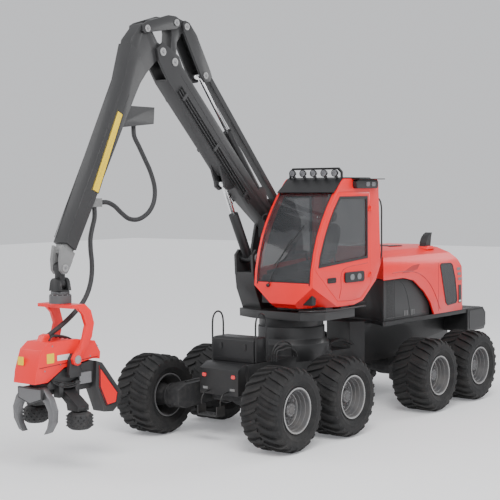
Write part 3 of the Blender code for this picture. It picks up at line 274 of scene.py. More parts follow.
def weaveFinish():
    # woven cloth: over and under threads as the product of sines on two crossed directions, 3 mm apart
    made = Finish("seatCloth", sheen=0.3)
    step = 2 * math.pi / 0.006
    threads = (made.x * step).sine() * ((made.y + made.z) * step).sine()
    fleck = made.noise(210, 2)
    made.set("colour", made.mix((threads * 0.5 + 0.5) * 0.6 + fleck * 0.3, (0.022, 0.022, 0.025),
                                (0.09, 0.09, 0.095)))
    made.set("rough", 0.8 + fleck * 0.15)
    return made.bump(threads + fleck, 0.35, 0.002).material


def sleeveFinish():
    # braided sleeve: two opposed spirals from the tube's own round and length coordinates
    made = Finish("hoseSleeve")
    parts = made.tree.nodes.new("ShaderNodeSeparateXYZ")
    source = made.node("UVMap", {"uv_map": "tubeUv"})
    feed(made.tree, parts.inputs[0], source)
    around, along = Wire(made.tree, parts.outputs[0]), Wire(made.tree, parts.outputs[1])
    first = ((around * 6 + along * 34) * 2 * math.pi).sine()
    second = ((around * 6 - along * 34) * 2 * math.pi).sine()
    braid = first * second
    made.set("colour", made.mix((braid * 0.5 + 0.5) * 0.5 + made.noise(30, 3) * 0.3, (0.010, 0.010, 0.011),
                                (0.055, 0.055, 0.058)))
    made.set("rough", (0.55 + braid * 0.12).held())
    return made.bump(braid, 0.4, 0.003).material


def meshFinish():
    # punched mesh: round holes where the product of two sines, 22 mm apart, is high, painted near-black as
    # the shade seen through them
    made = Finish("grilleMesh", metal=0.3)
    step = 2 * math.pi / 0.022
    holes = ((made.y + made.z) * step).sine() * ((made.y - made.z) * step).sine()
    dark = (holes > 0.05)
    # painted shade: inside the holes the colour turns near-black
    made.set("colour", made.mix(dark, (0.10, 0.10, 0.105), (0.008, 0.008, 0.009)))
    made.set("rough", 0.45 + made.noise(60, 2) * 0.2)
    return made.bump(1 - dark, 0.5, 0.004).material


def treadFinish():
    # raised tear-drop plate: bars from stretched sines that turn by a right angle from cell to cell
    made = Finish("treadPlate", metal=0.6)
    step = 2 * math.pi / 0.06
    cell = (made.x * step).sine() * (made.y * step).sine()
    bars = (((made.x + made.y) * step * 1.5).sine() * (cell > 0)
            + ((made.x - made.y) * step * 1.5).sine() * (1 - (cell > 0)))
    high = made.ramp(bars, (0.55, 0.0), (0.8, 1.0))
    made.set("colour", made.mix(high, (0.035, 0.035, 0.036), (0.16, 0.16, 0.165)))
    made.set("rough", (0.5 - high * 0.15 + made.noise(20, 3) * 0.2).held())
    return made.bump(high, 0.5, 0.004).material


def lampFinish(name, colour, power):
    # moulded lens: vertical flutes 9 mm apart as bump, light from within
    made = Finish(name, coat=0.8, rough=0.12, glow=colour, glowPower=power)
    flutes = ((made.x + made.y) * (2 * math.pi / 0.018)).sine()
    made.set("colour", made.mix(flutes * 0.25 + 0.3, colour, tuple(0.55 * part for part in colour)))
    return made.bump(flutes, 0.3, 0.002).material


finishes = {
    "red": paintFinish("brightRed", (0.92, 0.006, 0.008), (0.84, 0.004, 0.006), 0.34, 0.22, 0.04),
    # painted shade: the next finish is a darker copy of the bright red paint, used for the crease lines and
    # folded facets of the red panels
    "shadedRed": paintFinish("shadedRedPaint", (0.46, 0.003, 0.004), (0.36, 0.002, 0.003), 0.36, 0.2, 0.1),
    "grey": paintFinish("craneGrey", (0.026, 0.026, 0.027), (0.018, 0.018, 0.019), 0.45, 0.12, 0.10),
    "black": paintFinish("frameBlack", (0.009, 0.009, 0.010), (0.016, 0.016, 0.016), 0.45, 0.12, 0.12),
    "pale": paintFinish("paleGrey", (0.20, 0.20, 0.20), (0.12, 0.12, 0.118), 0.42, 0.15, 0.15),
    "yellow": paintFinish("blankYellow", (0.86, 0.60, 0.006), (0.78, 0.52, 0.006), 0.40, 0.2, 0.04),
    "white": paintFinish("blankWhite", (0.78, 0.78, 0.76), (0.62, 0.62, 0.60), 0.35, 0.4, 0.05),
    "rim": paintFinish("rimGrey", (0.085, 0.085, 0.088), (0.060, 0.060, 0.062), 0.42, 0.2, 0.25),
    "ring": paintFinish("rimRing", (0.30, 0.30, 0.30), (0.20, 0.20, 0.20), 0.35, 0.3, 0.35),
    "cast": castFinish("castIron", (0.020, 0.020, 0.021), (0.055, 0.052, 0.050)),
    "rubber": rubberFinish(),
    "steel": steelFinish("knifeSteel", (0.22, 0.22, 0.225), 0.36),
    "bolt": steelFinish("boltSteel", (0.33, 0.33, 0.34), 0.36, (4, 4, 4)),
    "chrome": chromeFinish(),
    "glass": glassFinish(),
    "cloth": weaveFinish(),
    "sleeve": sleeveFinish(),
    "grille": meshFinish(),
    "tread": treadFinish(),
    "lamp": lampFinish("lampLens", (0.16, 0.16, 0.17), 0.02),
    "amber": lampFinish("amberLens", (0.95, 0.42, 0.04), 0.25),
    "redLens": lampFinish("redLens", (0.75, 0.02, 0.02), 0.25),
}
slotFinish = {
    "red_paint": "red", "dark_grey_paint": "grey", "black_paint": "black", "cast_black": "cast",
    "tyre_rubber": "rubber", "rim_paint": "rim", "pale_grey_paint": "pale", "knife_steel": "steel",
    "chrome_rod": "chrome", "tinted_glass": "glass", "seat_fabric": "cloth", "hose_rubber": "sleeve",
}
print("finishes made")


def gridFaces(rows, columns, loopRows=False, loopColumns=False):
    # quads between neighbouring rows and columns of a grid, joined round where it loops
    a = np.arange(rows if loopRows else rows - 1)
    b = np.arange(columns if loopColumns else columns - 1)
    a, b = (part.ravel() for part in np.meshgrid(a, b, indexing="ij"))
    nextA, nextB = (a + 1) % rows, (b + 1) % columns
    return np.stack([a * columns + b, a * columns + nextB, nextA * columns + nextB, nextA * columns + b], 1)


def turnedShape(profile, axis, centre, sides=32, loop=False):
    # (radius, height) pairs carried round an axis; a radius of 0 closes to a pole, loop joins last to first
    profile = np.array(profile, float)
    angle = np.arange(sides) * 2 * math.pi / sides
    radius, height = profile[:, :1], profile[:, 1:]
    across = {"X": (1, 2, 0), "Y": (0, 2, 1), "Z": (0, 1, 2)}[axis]
    points = np.zeros((len(profile), sides, 3))
    points[..., across[0]] = radius * np.cos(angle)
    points[..., across[1]] = radius * np.sin(angle)
    points[..., across[2]] = height
    faces = [gridFaces(len(profile), sides, loop, True)]
    if not loop:
        faces += [np.arange(sides)[None], (np.arange(sides) + (len(profile) - 1) * sides)[None]]
    return points.reshape(-1, 3) + centre, faces


def slabShape(outline, axis, low, high):
    # a flat outline carried along an axis; its two coordinates are the other two, in order
    outline = np.array(outline, float)
    order = {"X": (1, 2, 0), "Y": (0, 2, 1), "Z": (0, 1, 2)}[axis]
    count = len(outline)
    points = np.zeros((2, count, 3))
    points[..., order[0]], points[..., order[1]] = outline[:, 0], outline[:, 1]
    points[0, :, order[2]], points[1, :, order[2]] = low, high
    return points.reshape(-1, 3), [gridFaces(2, count, False, True), np.arange(count)[None],
                                   (np.arange(count) + count)[None]]


def boxShape(low, high):
    return slabShape([(low[0], low[1]), (high[0], low[1]), (high[0], high[1]), (low[0], high[1])], "Z",
                     low[2], high[2])


def smoothPath(points, step):
    # a curve through the points, each span a cubic with slopes from its neighbours, read every step metres
    knots = np.array(points, float)
    knots = np.vstack([2 * knots[0] - knots[1], knots, 2 * knots[-1] - knots[-2]])
    t = np.linspace(0, 1, 24, endpoint=False)[:, None]
    a, b, c, d = (knots[i:len(knots) - 3 + i, None, :] for i in range(4))
    spans = (2 * b + (c - a) * t + (2 * a - 5 * b + 4 * c - d) * t ** 2
             + (3 * b - a - 3 * c + d) * t ** 3) / 2
    fine = np.vstack([spans.reshape(-1, 3), knots[-2]])
    run = np.concatenate([[0], np.cumsum(np.linalg.norm(np.diff(fine, axis=0), axis=1))])
    count = max(3, round(run[-1] / step) + 1)
    even = np.linspace(0, run[-1], count)
    return np.stack([np.interp(even, run, fine[:, k]) for k in range(3)], 1)


def tubeShape(path, radius, sides=12):
    # a ring carried along a path; each ring's frame is the last one turned with the path
    path = np.array(path, float)
    along = np.gradient(path, axis=0)
    along /= np.linalg.norm(along, axis=1)[:, None]
    side = np.cross(along[0], (0, 0, 1) if abs(along[0][2]) < 0.9 else (1, 0, 0))
    sidesList = []
    for direction in along:
        side = side - direction * side.dot(direction)
        side /= np.linalg.norm(side)
        sidesList.append(side)
    first = np.array(sidesList)
    second = np.cross(along, first)
    angle = np.arange(sides) * 2 * math.pi / sides
    radius = np.broadcast_to(radius, len(path))[:, None, None]
    points = path[:, None] + radius * (first[:, None] * np.cos(angle)[:, None] + second[:,
                                            None] * np.sin(angle)[:, None])
    last = (len(path) - 1) * sides
    return points.reshape(-1, 3), [gridFaces(len(path), sides, False, True), np.arange(sides)[None],
                                   (np.arange(sides) + last)[None]]


def copies(shape, places):
    # the same shape set down at many places
    points, faces = shape
    places = np.array(places, float)
    spread = (points[None] + places[:, None]).reshape(-1, 3)
    jumps = np.arange(len(places)) * len(points)
    return spread, [(group[None] + jumps[:, None, None]).reshape(-1, group.shape[1]) for group in faces]


def boltShape(axis, centre, radius=0.014, height=0.012, out=1):
    # a washer and a six-sided head
    washer = turnedShape([(radius * 1.45, 0), (radius * 1.45, out * height * 0.25)], axis, centre, 12)
    head = turnedShape([(radius, out * height * 0.25), (radius, out * height * 0.85),
                        (radius * 0.85, out * height)], axis, centre, 6)
    return washer, head


def makePiece(name, shapes, body, finish, bevel=0.0, sharp=35, subdivide=0):
    points = np.concatenate([shape[0] for shape in shapes]) - (0, middleY, 0)
    corners, totals, base = [], [], 0
    for spots, polygons in shapes:
        for group in polygons:
            corners.append((group + base).ravel())
            totals.append(np.full(len(group), group.shape[1]))
        base += len(spots)
    corners, totals = np.concatenate(corners), np.concatenate(totals)
    mesh = bpy.data.meshes.new(name)
    mesh.vertices.add(len(points))
    mesh.vertices.foreach_set("co", points.ravel())
    mesh.loops.add(len(corners))
    mesh.loops.foreach_set("vertex_index", corners.astype(np.int32))
    mesh.polygons.add(len(totals))
    mesh.polygons.foreach_set("loop_start", (np.cumsum(totals) - totals).astype(np.int32))
    mesh.update(calc_edges=True)
    work = bmesh.new()
    work.from_mesh(mesh)
    bmesh.ops.remove_doubles(work, verts=work.verts, dist=1e-6)
    bmesh.ops.recalc_face_normals(work, faces=work.faces)
    work.to_mesh(mesh)
    work.free()
    piece = bpy.data.objects.new(name, mesh)
    bpy.context.scene.collection.objects.link(piece)
    return dress(piece, body, finish, bevel, sharp, subdivide)


def dress(piece, body, finish, bevel=0.0, sharp=35, subdivide=0, segments=2):
    piece.data.materials.clear()
    piece.data.materials.append(finishes[finish])
    piece.data.shade_smooth()
    if bevel:
        modifier = piece.modifiers.new("softEdges", "BEVEL")
        modifier.width, modifier.segments, modifier.angle_limit = bevel, segments, math.radians(28)
        modifier.limit_method, modifier.harden_normals = "ANGLE", True
    elif not subdivide:
        piece.data.set_sharp_from_angle(angle=math.radians(sharp))
    if subdivide:
        modifier = piece.modifiers.new("rounder", "SUBSURF")
        modifier.levels = modifier.render_levels = subdivide
    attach(piece, body)
    return piece


def softened(node, finish=None, bevel=0.006, segments=2, sharp=35):
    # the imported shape, merged and with its edges rounded, shown in place of the plain one
    mesh = frame["nodes"][node].data.copy()
    work = bmesh.new()
    work.from_mesh(mesh)
    bmesh.ops.remove_doubles(work, verts=work.verts, dist=2e-5)
    bmesh.ops.dissolve_limit(work, angle_limit=math.radians(0.6), verts=work.verts, edges=work.edges)
    work.to_mesh(mesh)
    work.free()
    mesh.name = node + "Skin"
    piece = bpy.data.objects.new(node + "Skin", mesh)
    bpy.context.scene.collection.objects.link(piece)
    slotName = nodeSlot[node]
    dress(piece, nodeBody[node], finish or slotFinish[slotName], bevel, sharp, 0, segments)
    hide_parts(node)
    return piece


hoseSpec = {
    "radius": 0.036,
    "loop": [(-1.980, 5.0413), (-1.9636, 4.884), (-1.86, 4.73), (-1.74, 4.55), (-1.60, 4.33),
             (-1.51, 4.09), (-1.53, 3.87),
             (-1.66, 3.70), (-1.88, 3.60), (-2.10, 3.61), (-2.28, 3.71), (-2.42, 3.81), (-2.575,
                                            3.868), (-2.7327, 3.868)],
    "drop": [(-2.85, 3.8027), (-2.85, 3.645), (-2.90, 3.49), (-2.94, 3.34), (-2.94, 3.17), (-2.92, 3.00),
             (-2.92, 2.84),
             (-2.95, 2.68), (-3.02, 2.52), (-3.13, 2.38), (-3.27, 2.27), (-3.42, 2.17), (-3.56,
                                            2.09), (-3.6975, 2.0241),
             (-3.8397, 1.9551)],
}


def makeHose(name, node, route, body, other):
    path = smoothPath([(craneX, y, z) for y, z in route], 0.03)
    sides = 20
    piece = makePiece(name, [tubeShape(path, hoseSpec["radius"], sides)], body, "sleeve", 0,
                      50)
    length = float(np.linalg.norm(np.diff(path, axis=0), axis=1).sum())
    mesh = piece.data
    mesh.uv_layers.new(name="tubeUv")
    corner = np.zeros(len(mesh.loops), np.int32)
    mesh.loops.foreach_get("vertex_index", corner)
    total = np.zeros(len(mesh.polygons), np.int32)
    mesh.polygons.foreach_get("loop_total", total)
    ring, spoke = corner // sides, corner % sides
    firstSpoke = np.repeat(np.maximum.reduceat(spoke, np.cumsum(total) - total), total)
    spoke = np.where((spoke == 0) & (firstSpoke == sides - 1), sides, spoke)
    coordinates = np.stack([spoke / sides, ring * length / (len(path) - 1)], 1)
    mesh.uv_layers["tubeUv"].data.foreach_set("uv", coordinates.ravel().astype(np.float32))
    path[:, 1] -= middleY
    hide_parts(node)
    if other:
        piece.parent = None
        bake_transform(piece)
    print(name, "is", round(length, 3), "m long")
    return piece


makeHose("hoseLoop", "hose_loop", hoseSpec["loop"], "jib", "jib_extension")
makeHose("hoseDrop", "hose_drop", hoseSpec["drop"], "jib_extension", "tip_link")


wheelSpec = {
    "track": 2.617, "width": 0.71, "radius": 0.66, "carcass": 0.622, "lugs": 24, "lugTurn": 0.20,
    "lugWidth": 0.088,
    "places": {"fore": -0.777, "aft": 0.777}, "ends": {"front": 0.0, "rear": 4.416},
}


def lugShapes(spec, centre):
    # each lug is a trapezoid carried from the tread's middle out over the shoulder along a slanting curve
    along = np.linspace(0, 1, 8)
    offset = 0.012 + 0.335 * along
    top = spec["radius"] - 0.0015 - 0.058 * np.clip((offset - 0.235) / 0.112, 0, 1) ** 1.7
    foot = np.where(offset < 0.30, spec["carcass"] - 0.02, top - 0.045)
    lean = spec["lugTurn"] * along ** 0.8
    half = spec["lugWidth"] * (0.42 + 0.20 * along)
    section = [(foot, -1.25), (top, -0.85), (top, 0.85), (foot, 1.25)]
    starts = np.arange(spec["lugs"]) * 2 * math.pi / spec["lugs"]
    shapes = []
    for side, shift in ((1, 0.0), (-1, math.pi / spec["lugs"])):
        angle = starts[:, None, None] + shift + (lean[:, None] + half[:, None] * np.array([s for _,
                                            s in section]))[None]
        radius = np.broadcast_to(np.stack([r for r, _ in section], 1), angle.shape)
        points = np.stack([np.broadcast_to(side * offset[:, None], angle.shape), radius * np.cos(angle),
                           radius * np.sin(angle)], -1)
        rows = len(along)
        faces = [gridFaces(rows, 4, False, True), np.arange(4)[None], (np.arange(4) + 4 * (rows - 1))[None]]
        jump = np.arange(spec["lugs"]) * rows * 4
        faces = [(group[None] + jump[:, None, None]).reshape(-1, 4) for group in faces]
        shapes.append((points.reshape(-1, 3) + centre, faces))
    return shapes


def makeWheel(name, side, y, spec):
    centre = np.array([side * spec["track"] / 2, y, axleHeight])
    body = "wheel_" + name
    right = [(0.3415, 0.262), (0.352, 0.285), (0.372, 0.300), (0.384, 0.312), (0.392, 0.310),
             (0.42, 0.330), (0.455, 0.345),
             (0.462, 0.350), (0.470, 0.347), (0.51, 0.352), (0.55, 0.349), (0.585, 0.335), (0.605,
                                            0.310), (0.616, 0.26),
             (spec["carcass"], 0.18), (spec["carcass"] + 0.003, 0.08), (spec["carcass"] + 0.004, 0.0)]
    profile = right + [(radius, -offset) for radius, offset in right[-2::-1]]
    carcass = turnedShape(profile, "X", centre, 64, True)
    tyre = makePiece("tyreSkin_" + name, [carcass] + lugShapes(spec, centre), body,
                     "rubber", 0, 38)
    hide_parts("tyre_" + name)

    dish = [(0.0, 0.195), (0.055, 0.195), (0.062, 0.188), (0.100, 0.186), (0.112, 0.172), (0.116, 0.125),
            (0.150, 0.120),
            (0.158, 0.106), (0.232, 0.104), (0.246, 0.118), (0.262, 0.122), (0.276, 0.170), (0.286,
                                            0.178), (0.300, 0.238),
            (0.310, 0.246), (0.322, 0.300), (0.336, 0.3105), (0.360, 0.3105), (0.3605, 0.297), (0.3395,
                                            0.2704),
            (0.3395, -0.2704), (0.3605, -0.297), (0.360, -0.3095), (0.338, -0.3095), (0.325, -0.24), (0.27,
                                            0.06), (0.25, 0.03), (0.0, 0.03)]
    rim = makePiece("rimSkin_" + name, [turnedShape([(r, side * o) for r, o in dish], "X", centre, 64)],
                    body, "rim", 0, 28)
    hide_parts("rim_" + name)
    band = turnedShape([(0.334, side * 0.3095), (0.337, side * 0.3145), (0.354, side * 0.3145),
                        (0.357, side * 0.3095)], "X", centre, 64, True)
    inner = turnedShape([(0.247, side * 0.117), (0.249, side * 0.1225), (0.257, side * 0.1235),
                         (0.260, side * 0.120)], "X", centre, 64, True)
    makePiece("rimBands_" + name, [band, inner], body, "ring", 0, 30)
    turn = np.arange(12) * math.pi / 6 + 0.13
    places = np.stack([np.full(12, centre[0] + side * 0.103), y + 0.195 * np.cos(turn),
                       axleHeight + 0.195 * np.sin(turn)], 1)
    nuts = [copies(shape, places) for shape in boltShape("X", (0, 0, 0), 0.015, 0.020, side)]
    turn = np.arange(8) * math.pi / 4
    places = np.stack([np.full(8, centre[0] + side * 0.185), y + 0.082 * np.cos(turn),
                       axleHeight + 0.082 * np.sin(turn)], 1)
    nuts += [copies(shape, places) for shape in boltShape("X", (0, 0, 0), 0.007, 0.008, side)]
    makePiece("wheelNuts_" + name, nuts, body, "bolt", 0, 30)


for end, endY in wheelSpec["ends"].items():
    for sideName, side in (("left", 1), ("right", -1)):
        for placeName, placeY in wheelSpec["places"].items():
            makeWheel(f"{end}_{sideName}_{placeName}", side, endY + placeY, wheelSpec)
print("wheels made")


skinEdges = {
    "front_frame": 0.010, "front_toolbox": 0.014, "rear_frame": 0.010, "engine_bay_panels": 0.004,
    "engine_block": 0.01,
    "engine_hood": 0.022, "crane_platform": 0.010, "cab_shell": 0.016, "cab_door": 0.007,
    "roof_light_rail": 0.004,
    "front_axle": 0.012, "rear_axle": 0.012, "bogie_front_left": 0.02, "bogie_front_right": 0.02,
    "bogie_rear_left": 0.02,
    "bogie_rear_right": 0.02, "main_boom": 0.010, "jib": 0.009, "jib_extension": 0.006, "rocker": 0.006,
    "link_bar": 0.006,
    "top_link": 0.006, "tip_link": 0.005, "rotator": 0.005, "head_hanger": 0.008, "head_frame": 0.006,
    "head_cover": 0.022,
    "knife_left": 0.006, "knife_right": 0.006, "roller_arm_left": 0.006, "roller_arm_right": 0.006,
    "jib_cylinder_barrel": 0.004, "lift_barrel": 0.004, "jib_cylinder_rod": 0.002, "lift_rod": 0.002,
}
for node, width in skinEdges.items():
    softened(node, None, width, 3 if width > 0.012 else 2)
for node in ("windscreen", "right_window", "rear_window", "door_glass"):
    softened(node, "glass", 0.0, 1, 35)
print("skins made")


def plateShape(outline, axis, face, thick, out):
    # a thin raised plate on a flat face
    low, high = sorted((face, face + out * thick))
    return slabShape(outline, axis, low, high)


def roundedOutline(low, high, radius, steps=5):
    # a rectangle with quarter circles at its corners
    angle = np.linspace(0, math.pi / 2, steps)
    centres = [(high[0] - radius, high[1] - radius), (low[0] + radius, high[1] - radius),
               (low[0] + radius, low[1] + radius), (high[0] - radius, low[1] + radius)]
    return np.concatenate([np.stack([c[0] + radius * np.cos(angle + k * math.pi / 2),
                                     c[1] + radius * np.sin(angle + k * math.pi / 2)], 1)
                           for k, c in enumerate(centres)])


def bandShape(outline, axis, face, width, thick, out):
    # a frame: the outline, and the same outline moved inwards by width, joined as a raised band
    ring = np.array(outline, float)
    ahead, behind = np.roll(ring, -1, 0) - ring, ring - np.roll(ring, 1, 0)
    ahead /= np.linalg.norm(ahead, axis=1)[:, None]
    behind /= np.linalg.norm(behind, axis=1)[:, None]
    area = (ring[:, 0] * np.roll(ring[:, 1], -1) - np.roll(ring[:, 0], -1) * ring[:, 1]).sum()
    turn = 1 if area > 0 else -1
    normals = [turn * np.stack([-d[:, 1], d[:, 0]], 1) for d in (ahead, behind)]
    middle = normals[0] + normals[1]
    middle /= (1 + (normals[0] * normals[1]).sum(1))[:, None]
    inner = ring + middle * width
    order = {"X": (1, 2, 0), "Y": (0, 2, 1), "Z": (0, 1, 2)}[axis]
    rows = [(ring, face), (ring, face + out * thick), (inner, face + out * thick), (inner, face)]
    points = np.zeros((4, len(ring), 3))
    for k, (flat, depth) in enumerate(rows):
        points[k, :, order[0]], points[k, :, order[1]], points[k, :, order[2]] = flat[:, 0], flat[:,
                                            1], depth
    return points.reshape(-1, 3), [gridFaces(4, len(ring), True, True)]


def lampShapes(centre, axis, out, radius=0.055, depth=0.07):
    # a round work lamp: a bowl with a rim, and a domed lens set into it
    bowl = turnedShape([(0.0, -out * depth), (radius * 0.6, -out * depth),
                        (radius * 0.95, -out * depth * 0.4), (radius, 0),
                        (radius * 0.88, 0), (radius * 0.84, -out * 0.01), (0.0,
                                            -out * 0.01)], axis, centre, 24)
    lens = turnedShape([(radius * 0.85, -out * 0.012), (radius * 0.85, -out * 0.004),
                        (radius * 0.6, out * 0.002), (0.0, out * 0.005)],
                       axis, centre, 24)
    return bowl, lens


cabSpec = {
    "left": 1.00, "right": -0.20,
    "sideGlass": [(0.69, 2.74), (0.74, 2.95), (0.87, 3.24), (0.99, 3.46), (1.15, 3.70), (1.33, 3.92),
                  (2.20, 3.92), (2.20, 2.84)],
    "roofLamps": 5,
}


def makeCab(spec):
    left, right = spec["left"], spec["right"]
    outer = np.array(spec["sideGlass"])
    seal = []
    for face, out in ((left - 0.0005, 1), (right + 0.0005, -1)):
        seal.append(bandShape(outer, "X", face, 0.045, 0.006, out))
    makePiece("doorSeal", [seal[0]], "door", "black", 0.002)
    makePiece("rightWindowSeal", [seal[1]], "platform", "black", 0.002)

    # twin lamp box low on the door, and the handle in its dark cup
    box = plateShape(roundedOutline((1.46, 2.45), (2.06, 2.63), 0.05), "X", left - 0.004, 0.030, 1)
    makePiece("doorLampBox", [box], "door", "black", 0.006)
    lenses = [plateShape(roundedOutline((y, 2.49), (y + 0.13, 2.59), 0.045), "X", left + 0.025, 0.008,
                         1) for y in (1.60, 1.82)]
    makePiece("doorLampLenses", lenses, "door", "lamp", 0.003)
    cup = bandShape(roundedOutline((0.95, 2.47), (1.21, 2.56), 0.03), "X", left - 0.001, 0.012, 0.007, 1)
    grip = tubeShape(smoothPath([(left + 0.002, 0.98, 2.515), (left + 0.034, 1.01, 2.515),
                                 (left + 0.038, 1.08, 2.515),
                                 (left + 0.034, 1.15, 2.515), (left + 0.002, 1.18,
                                            2.515)], 0.012), 0.009, 10)
    floor = plateShape(roundedOutline((0.955, 2.475), (1.205, 2.555), 0.028), "X", left - 0.001, 0.004, 1)
    makePiece("doorHandle", [cup, grip, floor], "door", "black", 0)
    # painted shade: a thin tube in the darker copy of the red paint marks the fold in the door
    crease = tubeShape(smoothPath([(left + 0.0005, 1.30, 2.20), (left + 0.0005, 1.36, 2.36),
                                   (left + 0.0005, 1.44, 2.68), (left + 0.0005, 2.20,
                                            2.76)], 0.03), 0.005, 8)
    makePiece("doorCrease", [crease], "door", "shadedRed", 0)
    pocket = [boxShape((left - 0.14, 1.10, 2.30), (left - 0.052, 1.60, 2.46))]
    makePiece("doorPocket", pocket, "door", "black", 0.01)

    # windscreen edge bands and wiper
    heights = np.array([2.46, 2.68, 2.99, 3.26, 3.50, 3.74, 3.94, 4.10])
    depths = np.array([0.52, 0.54, 0.62, 0.72, 0.85, 1.01, 1.17, 1.325])
    bands = []
    for x in (left - 0.065, right + 0.065):
        line = smoothPath(np.stack([np.full(8, x), depths - 0.001, heights], 1), 0.05)
        bands.append(tubeShape(line, 0.011, 8))
    for height in (2.505, 4.075):
        y = np.interp(height, heights, depths)
        bands.append(tubeShape([(x, y - 0.001, height) for x in np.linspace(right + 0.065, left - 0.065,
                                            8)], 0.011, 8))
    makePiece("windscreenSeal", bands, "platform", "black", 0)
    pivot = np.array([0.10, 0.500, 2.44])
    arm = smoothPath([pivot, (0.22, 0.505, 2.66), (0.38, 0.565, 2.99), (0.50, 0.645, 3.22)], 0.04)
    rubber = smoothPath([(0.20, 0.520, 2.76), (0.36, 0.566, 2.96), (0.52, 0.655, 3.20),
                         (0.66, 0.775, 3.44)], 0.04)
    motor = turnedShape([(0.030, 0.03), (0.030, -0.012), (0.018, -0.024)], "Y", pivot, 20)
    makePiece("wiper", [tubeShape(arm, 0.008, 8), tubeShape(rubber, 0.007, 8), motor], "platform",
              "black", 0)

    # dark front cap of the roof, lamps under the rail, side lamp box
    visor = slabShape([(1.14, 3.99), (1.30, 4.10), (1.42, 4.205), (1.50, 4.243), (2.30, 4.243),
                       (2.36, 4.222), (1.47, 4.222), (1.43, 4.19), (1.19, 3.975)],
                      "X", right + 0.02, left - 0.02)
    makePiece("roofCap", [visor], "platform", "black", 0.006)
    bowls, glass, stems = [], [], []
    for x in np.linspace(right + 0.16, left - 0.16, spec["roofLamps"]):
        bowl, lens = lampShapes((x, 1.40, 4.315), "Y", -1, 0.062, 0.08)
        bowls.append(bowl)
        glass.append(lens)
        stems.append(boxShape((x - 0.012, 1.43, 4.235), (x + 0.012, 1.50, 4.27)))
    makePiece("roofLampBowls", bowls + stems, "platform", "black", 0)
    makePiece("roofLampLenses", glass, "platform", "lamp", 0)
    cap = slabShape(roundedOutline((1.73, 4.05), (2.42, 4.20), 0.05), "X", left - 0.02, left + 0.085)
    makePiece("sideLampBox", [cap], "platform", "black", 0.014)
    visor = boxShape((left - 0.05, 1.70, 4.205), (left + 0.16, 2.52, 4.221))
    makePiece("sideLampVisor", [visor], "platform", "black", 0.004)
    side = [plateShape(roundedOutline((y, 4.085), (y + 0.12, 4.165), 0.03), "X", left + 0.083, 0.007,
                       1) for y in (2.02, 2.20)]
    makePiece("sideLampLenses", side, "platform", "lamp", 0.003)

    # grab hoop behind the cab, mirror and low guard rail
    hoop = smoothPath([(left - 0.10, 2.600, 2.74), (left - 0.06, 2.68, 2.76), (left - 0.05, 2.73, 2.88),
                       (left - 0.05, 2.735, 3.10),
                       (left - 0.05, 2.735, 3.45), (left - 0.05, 2.73, 3.72), (left - 0.06, 2.67,
                                            3.86), (left - 0.10, 2.56, 3.88)], 0.03)
    makePiece("grabHoop", [tubeShape(hoop, 0.014, 12)], "platform", "black", 0)
    stalk = smoothPath([(right - 0.0, 1.02, 3.60), (right - 0.06, 0.96, 3.62), (right - 0.10, 0.92, 3.60),
                        (right - 0.11, 0.90, 3.52)], 0.02)
    mirror = slabShape(roundedOutline((right - 0.19, 3.22), (right - 0.05, 3.52), 0.03), "Y", 0.885, 0.925)
    makePiece("mirror", [tubeShape(stalk, 0.009, 10), mirror], "platform", "black", 0.006)
    rail = smoothPath([(left - 0.30, 0.60, 1.99), (left - 0.30, 0.55, 2.02), (left - 0.12, 0.60, 2.03),
                       (left + 0.02, 0.80, 2.03),
                       (left + 0.05, 1.30, 2.02), (left + 0.03, 2.00, 2.02), (left - 0.05, 2.18,
                                            1.99)], 0.04)
    makePiece("skirtRail", [tubeShape(rail, 0.016, 10)], "platform", "black", 0)


makeCab(cabSpec)


def makeTrim(spec):
    # dark trim inside the cab: dash behind the windscreen, lining on the door, right wall and roof
    left, right = spec["left"], spec["right"]
    dash = slabShape([(0.64, 2.12), (0.62, 2.50), (0.66, 2.60), (0.76, 2.60), (0.80, 2.48), (0.74, 2.12)],
                     "X", right + 0.07, left - 0.09)
    makePiece("dashBoard", [dash], "platform", "black", 0.012)
    side = [(0.86, 2.24), (0.80, 2.66), (2.14, 2.78), (2.14, 2.24)]
    makePiece("doorLining", [plateShape(side, "X", left - 0.051, 0.006, -1)], "door",
              "black", 0.002)
    makePiece("wallLining", [plateShape(side, "X", right + 0.051, 0.006, 1)], "platform",
              "black", 0.002)
    makePiece("roofLining", [boxShape((right + 0.08, 1.42, 4.150), (left - 0.08, 2.36, 4.166))],
              "platform", "black", 0.004)
    makePiece("floorMat", [boxShape((right + 0.08, 0.84, 2.062), (left - 0.12, 2.30, 2.072))], "platform",
              "black", 0.002)


makeTrim(cabSpec)


seatSpec = {"middle": 0.40, "low": 2.66, "fill": 0.6}


def cushionShape(centre, half, power=3.2, lean=0.0, crown=0.02, channels=0):
    # a rounded box from sines and cosines raised to 2/power, crowned,
    # with sewn channels as a cosine across it
    u = np.linspace(-math.pi / 2, math.pi / 2, 41)[:, None]
    v = np.linspace(-math.pi, math.pi, 81)[:-1][None]
    bend = lambda value: np.sign(value) * np.abs(value) ** (2 / power)
    x = bend(np.cos(u)) * bend(np.cos(v))
    y = bend(np.cos(u)) * bend(np.sin(v))
    z = bend(np.sin(u)) * np.ones_like(v)
    top = np.clip(z, 0, 1)
    z = z + top * (crown * (1 - x ** 2) * (1 - y ** 2) / half[2])
    if channels:
        z = z - top * 0.012 / half[2] * np.clip(np.cos(x * math.pi * channels), 0.75, 1)
    points = np.stack([x * half[0], y * half[1], z * half[2]], -1).reshape(-1, 3)
    turn = np.array([[1, 0, 0], [0, math.cos(lean), -math.sin(lean)], [0, math.sin(lean), math.cos(lean)]])
    points = points @ turn.T + centre
    return points, [gridFaces(41, 80, False, True)]


